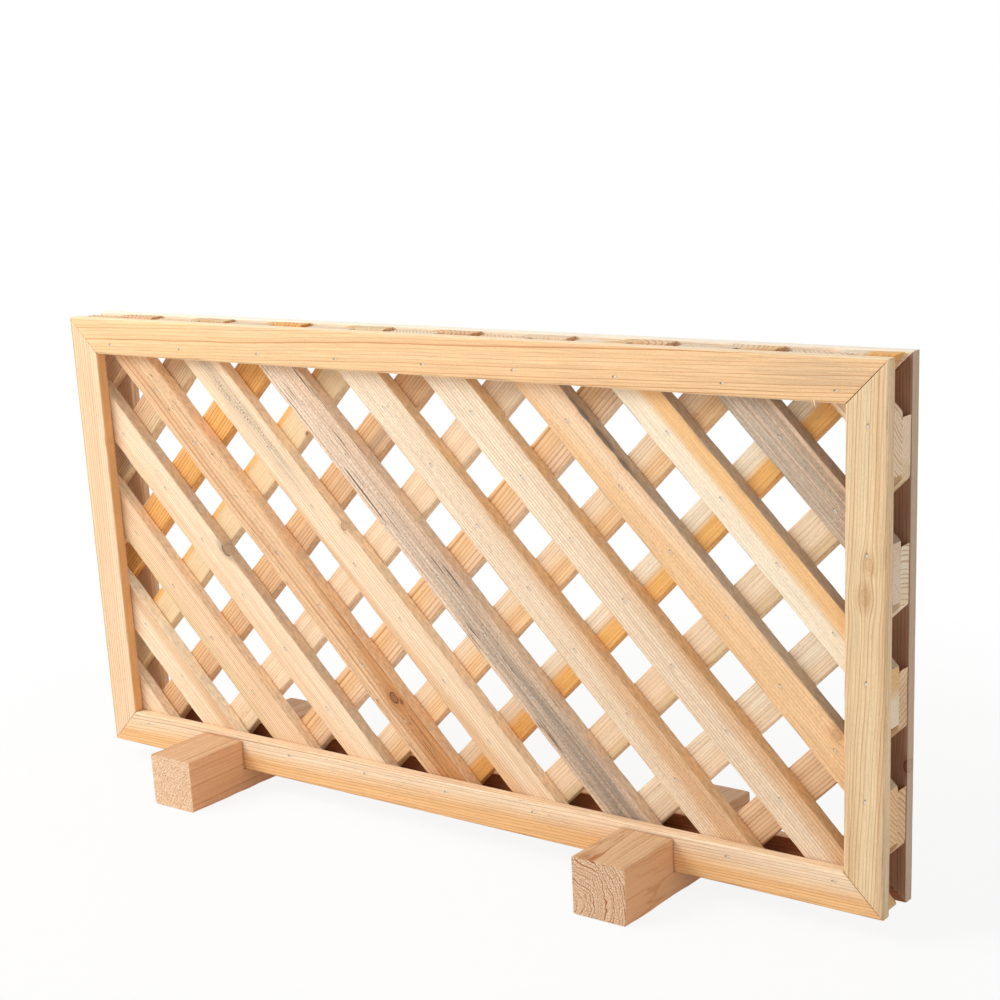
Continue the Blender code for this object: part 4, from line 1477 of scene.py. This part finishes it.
def make_floor(stage):
    """A level floor: a square grid over x and y."""
    line = np.linspace(-FLOOR_REACH, FLOOR_REACH, FLOOR_LINES)
    x, y = np.meshgrid(line, line, indexing="ij")
    points = np.stack([x, y, np.zeros_like(x)], axis=-1).reshape(-1, 3)
    index = np.arange(FLOOR_LINES**2).reshape(FLOOR_LINES, FLOOR_LINES)
    quads = np.stack([index[:-1, :-1], index[1:, :-1], index[1:, 1:], index[:-1, 1:]], axis=-1).reshape(-1, 4)
    mesh = new_mesh("floor", points, quads)
    mesh.materials.append(floor_material(stage))
    floor = bpy.data.objects.new("floor", mesh)
    bpy.context.scene.collection.objects.link(floor)


# Operators


class LATTICE_PANEL_OT_stage(bpy.types.Operator):
    """Make the floor, the light, the white surroundings and the camera"""

    bl_idname = "lattice_panel.stage"
    bl_label = "Stage"

    def execute(self, context):
        stage = context.scene.lattice_stage
        make_camera(stage)
        make_world(stage)
        make_floor(stage)
        make_lamps(stage)
        context.scene.view_settings.view_transform = "Standard"
        return {"FINISHED"}


class LATTICE_PANEL_OT_rails(bpy.types.Operator):
    """Make the eight mitred rails of both frames"""

    bl_idname = "lattice_panel.rails"
    bl_label = "Rails"

    def execute(self, context):
        for board in rail_boards(context.scene.lattice_sizes, context.scene.lattice_fasteners):
            dress_board(context, board)
        return {"FINISHED"}


class LATTICE_PANEL_OT_slats(bpy.types.Operator):
    """Make both layers of slats"""

    bl_idname = "lattice_panel.slats"
    bl_label = "Slats"

    def execute(self, context):
        for board in slat_boards(context.scene.lattice_sizes, context.scene.lattice_fasteners):
            dress_board(context, board)
        return {"FINISHED"}


class LATTICE_PANEL_OT_stands(bpy.types.Operator):
    """Make the two notched stands"""

    bl_idname = "lattice_panel.stands"
    bl_label = "Stands"

    def execute(self, context):
        for board in stand_boards(context.scene.lattice_sizes):
            dress_board(context, board)
        return {"FINISHED"}


class LATTICE_PANEL_OT_nails(bpy.types.Operator):
    """Make the nails between the frame's own, and give those steel or filler"""

    bl_idname = "lattice_panel.nails"
    bl_label = "Nails"

    def execute(self, context):
        steel = steel_material("cad_nails", tuple(context.scene.lattice_fasteners.steel))
        wood = context.scene.lattice_wood
        filler = speckled_material("nail_filler", 1800.0, (wood.straw, wood.wheat), 0.65, (0.65, 0.8))
        hidden = f"{SIDE_NAMES[FILLED_RAIL[0]]}_{FILLED_RAIL[1]}_"
        for name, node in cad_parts.items():
            if "_nail_" in name:
                node.data.materials.clear()
                node.data.materials.append(filler if name.startswith(hidden) else steel)
        for side in (FRONT, BACK):
            make_nails(context, side)
        return {"FINISHED"}


class LATTICE_PANEL_OT_staples(bpy.types.Operator):
    """Make the staples that hold the slats together where they cross"""

    bl_idname = "lattice_panel.staples"
    bl_label = "Staples"

    def execute(self, context):
        make_staples(context)
        return {"FINISHED"}


class LATTICE_PANEL_OT_splinters(bpy.types.Operator):
    """Make the torn fibres at three places"""

    bl_idname = "lattice_panel.splinters"
    bl_label = "Splinters"

    def execute(self, context):
        make_splinters(context)
        return {"FINISHED"}


OPERATORS = (LATTICE_PANEL_OT_stage, LATTICE_PANEL_OT_rails, LATTICE_PANEL_OT_slats, LATTICE_PANEL_OT_stands,
             LATTICE_PANEL_OT_nails, LATTICE_PANEL_OT_staples, LATTICE_PANEL_OT_splinters)
SETTINGS = {"lattice_wood": LatticeWood, "lattice_sizes": LatticeSizes, "lattice_fasteners": LatticeFasteners,
            "lattice_stage": LatticeStage}


class VIEW3D_PT_lattice_panel(bpy.types.Panel):
    """Buttons and settings of the lattice panel"""

    bl_idname = "VIEW3D_PT_lattice_panel"
    bl_label = "Lattice panel"
    bl_space_type = "VIEW_3D"
    bl_region_type = "UI"
    bl_category = "Lattice panel"

    def draw(self, context):
        for operator in OPERATORS:
            self.layout.operator(operator.bl_idname)
        for name in SETTINGS:
            box = self.layout.box()
            settings = getattr(context.scene, name)
            for setting in settings.__annotations__:
                box.prop(settings, setting)


def register():
    """Register the settings, the operators and the panel."""
    for name, kind in SETTINGS.items():
        bpy.utils.register_class(kind)
        setattr(bpy.types.Scene, name, bpy.props.PointerProperty(type=kind))
    for kind in (*OPERATORS, VIEW3D_PT_lattice_panel):
        bpy.utils.register_class(kind)


def unregister():
    """Take them all away again."""
    for kind in (VIEW3D_PT_lattice_panel, *reversed(OPERATORS)):
        bpy.utils.unregister_class(kind)
    for name, kind in SETTINGS.items():
        delattr(bpy.types.Scene, name)
        bpy.utils.unregister_class(kind)


def main():
    """Make everything."""
    register()
    bpy.ops.lattice_panel.stage()
    bpy.ops.lattice_panel.rails()
    bpy.ops.lattice_panel.slats()
    bpy.ops.lattice_panel.stands()
    bpy.ops.lattice_panel.nails()
    bpy.ops.lattice_panel.staples()
    bpy.ops.lattice_panel.splinters()


if __name__ == "__main__":
    main()
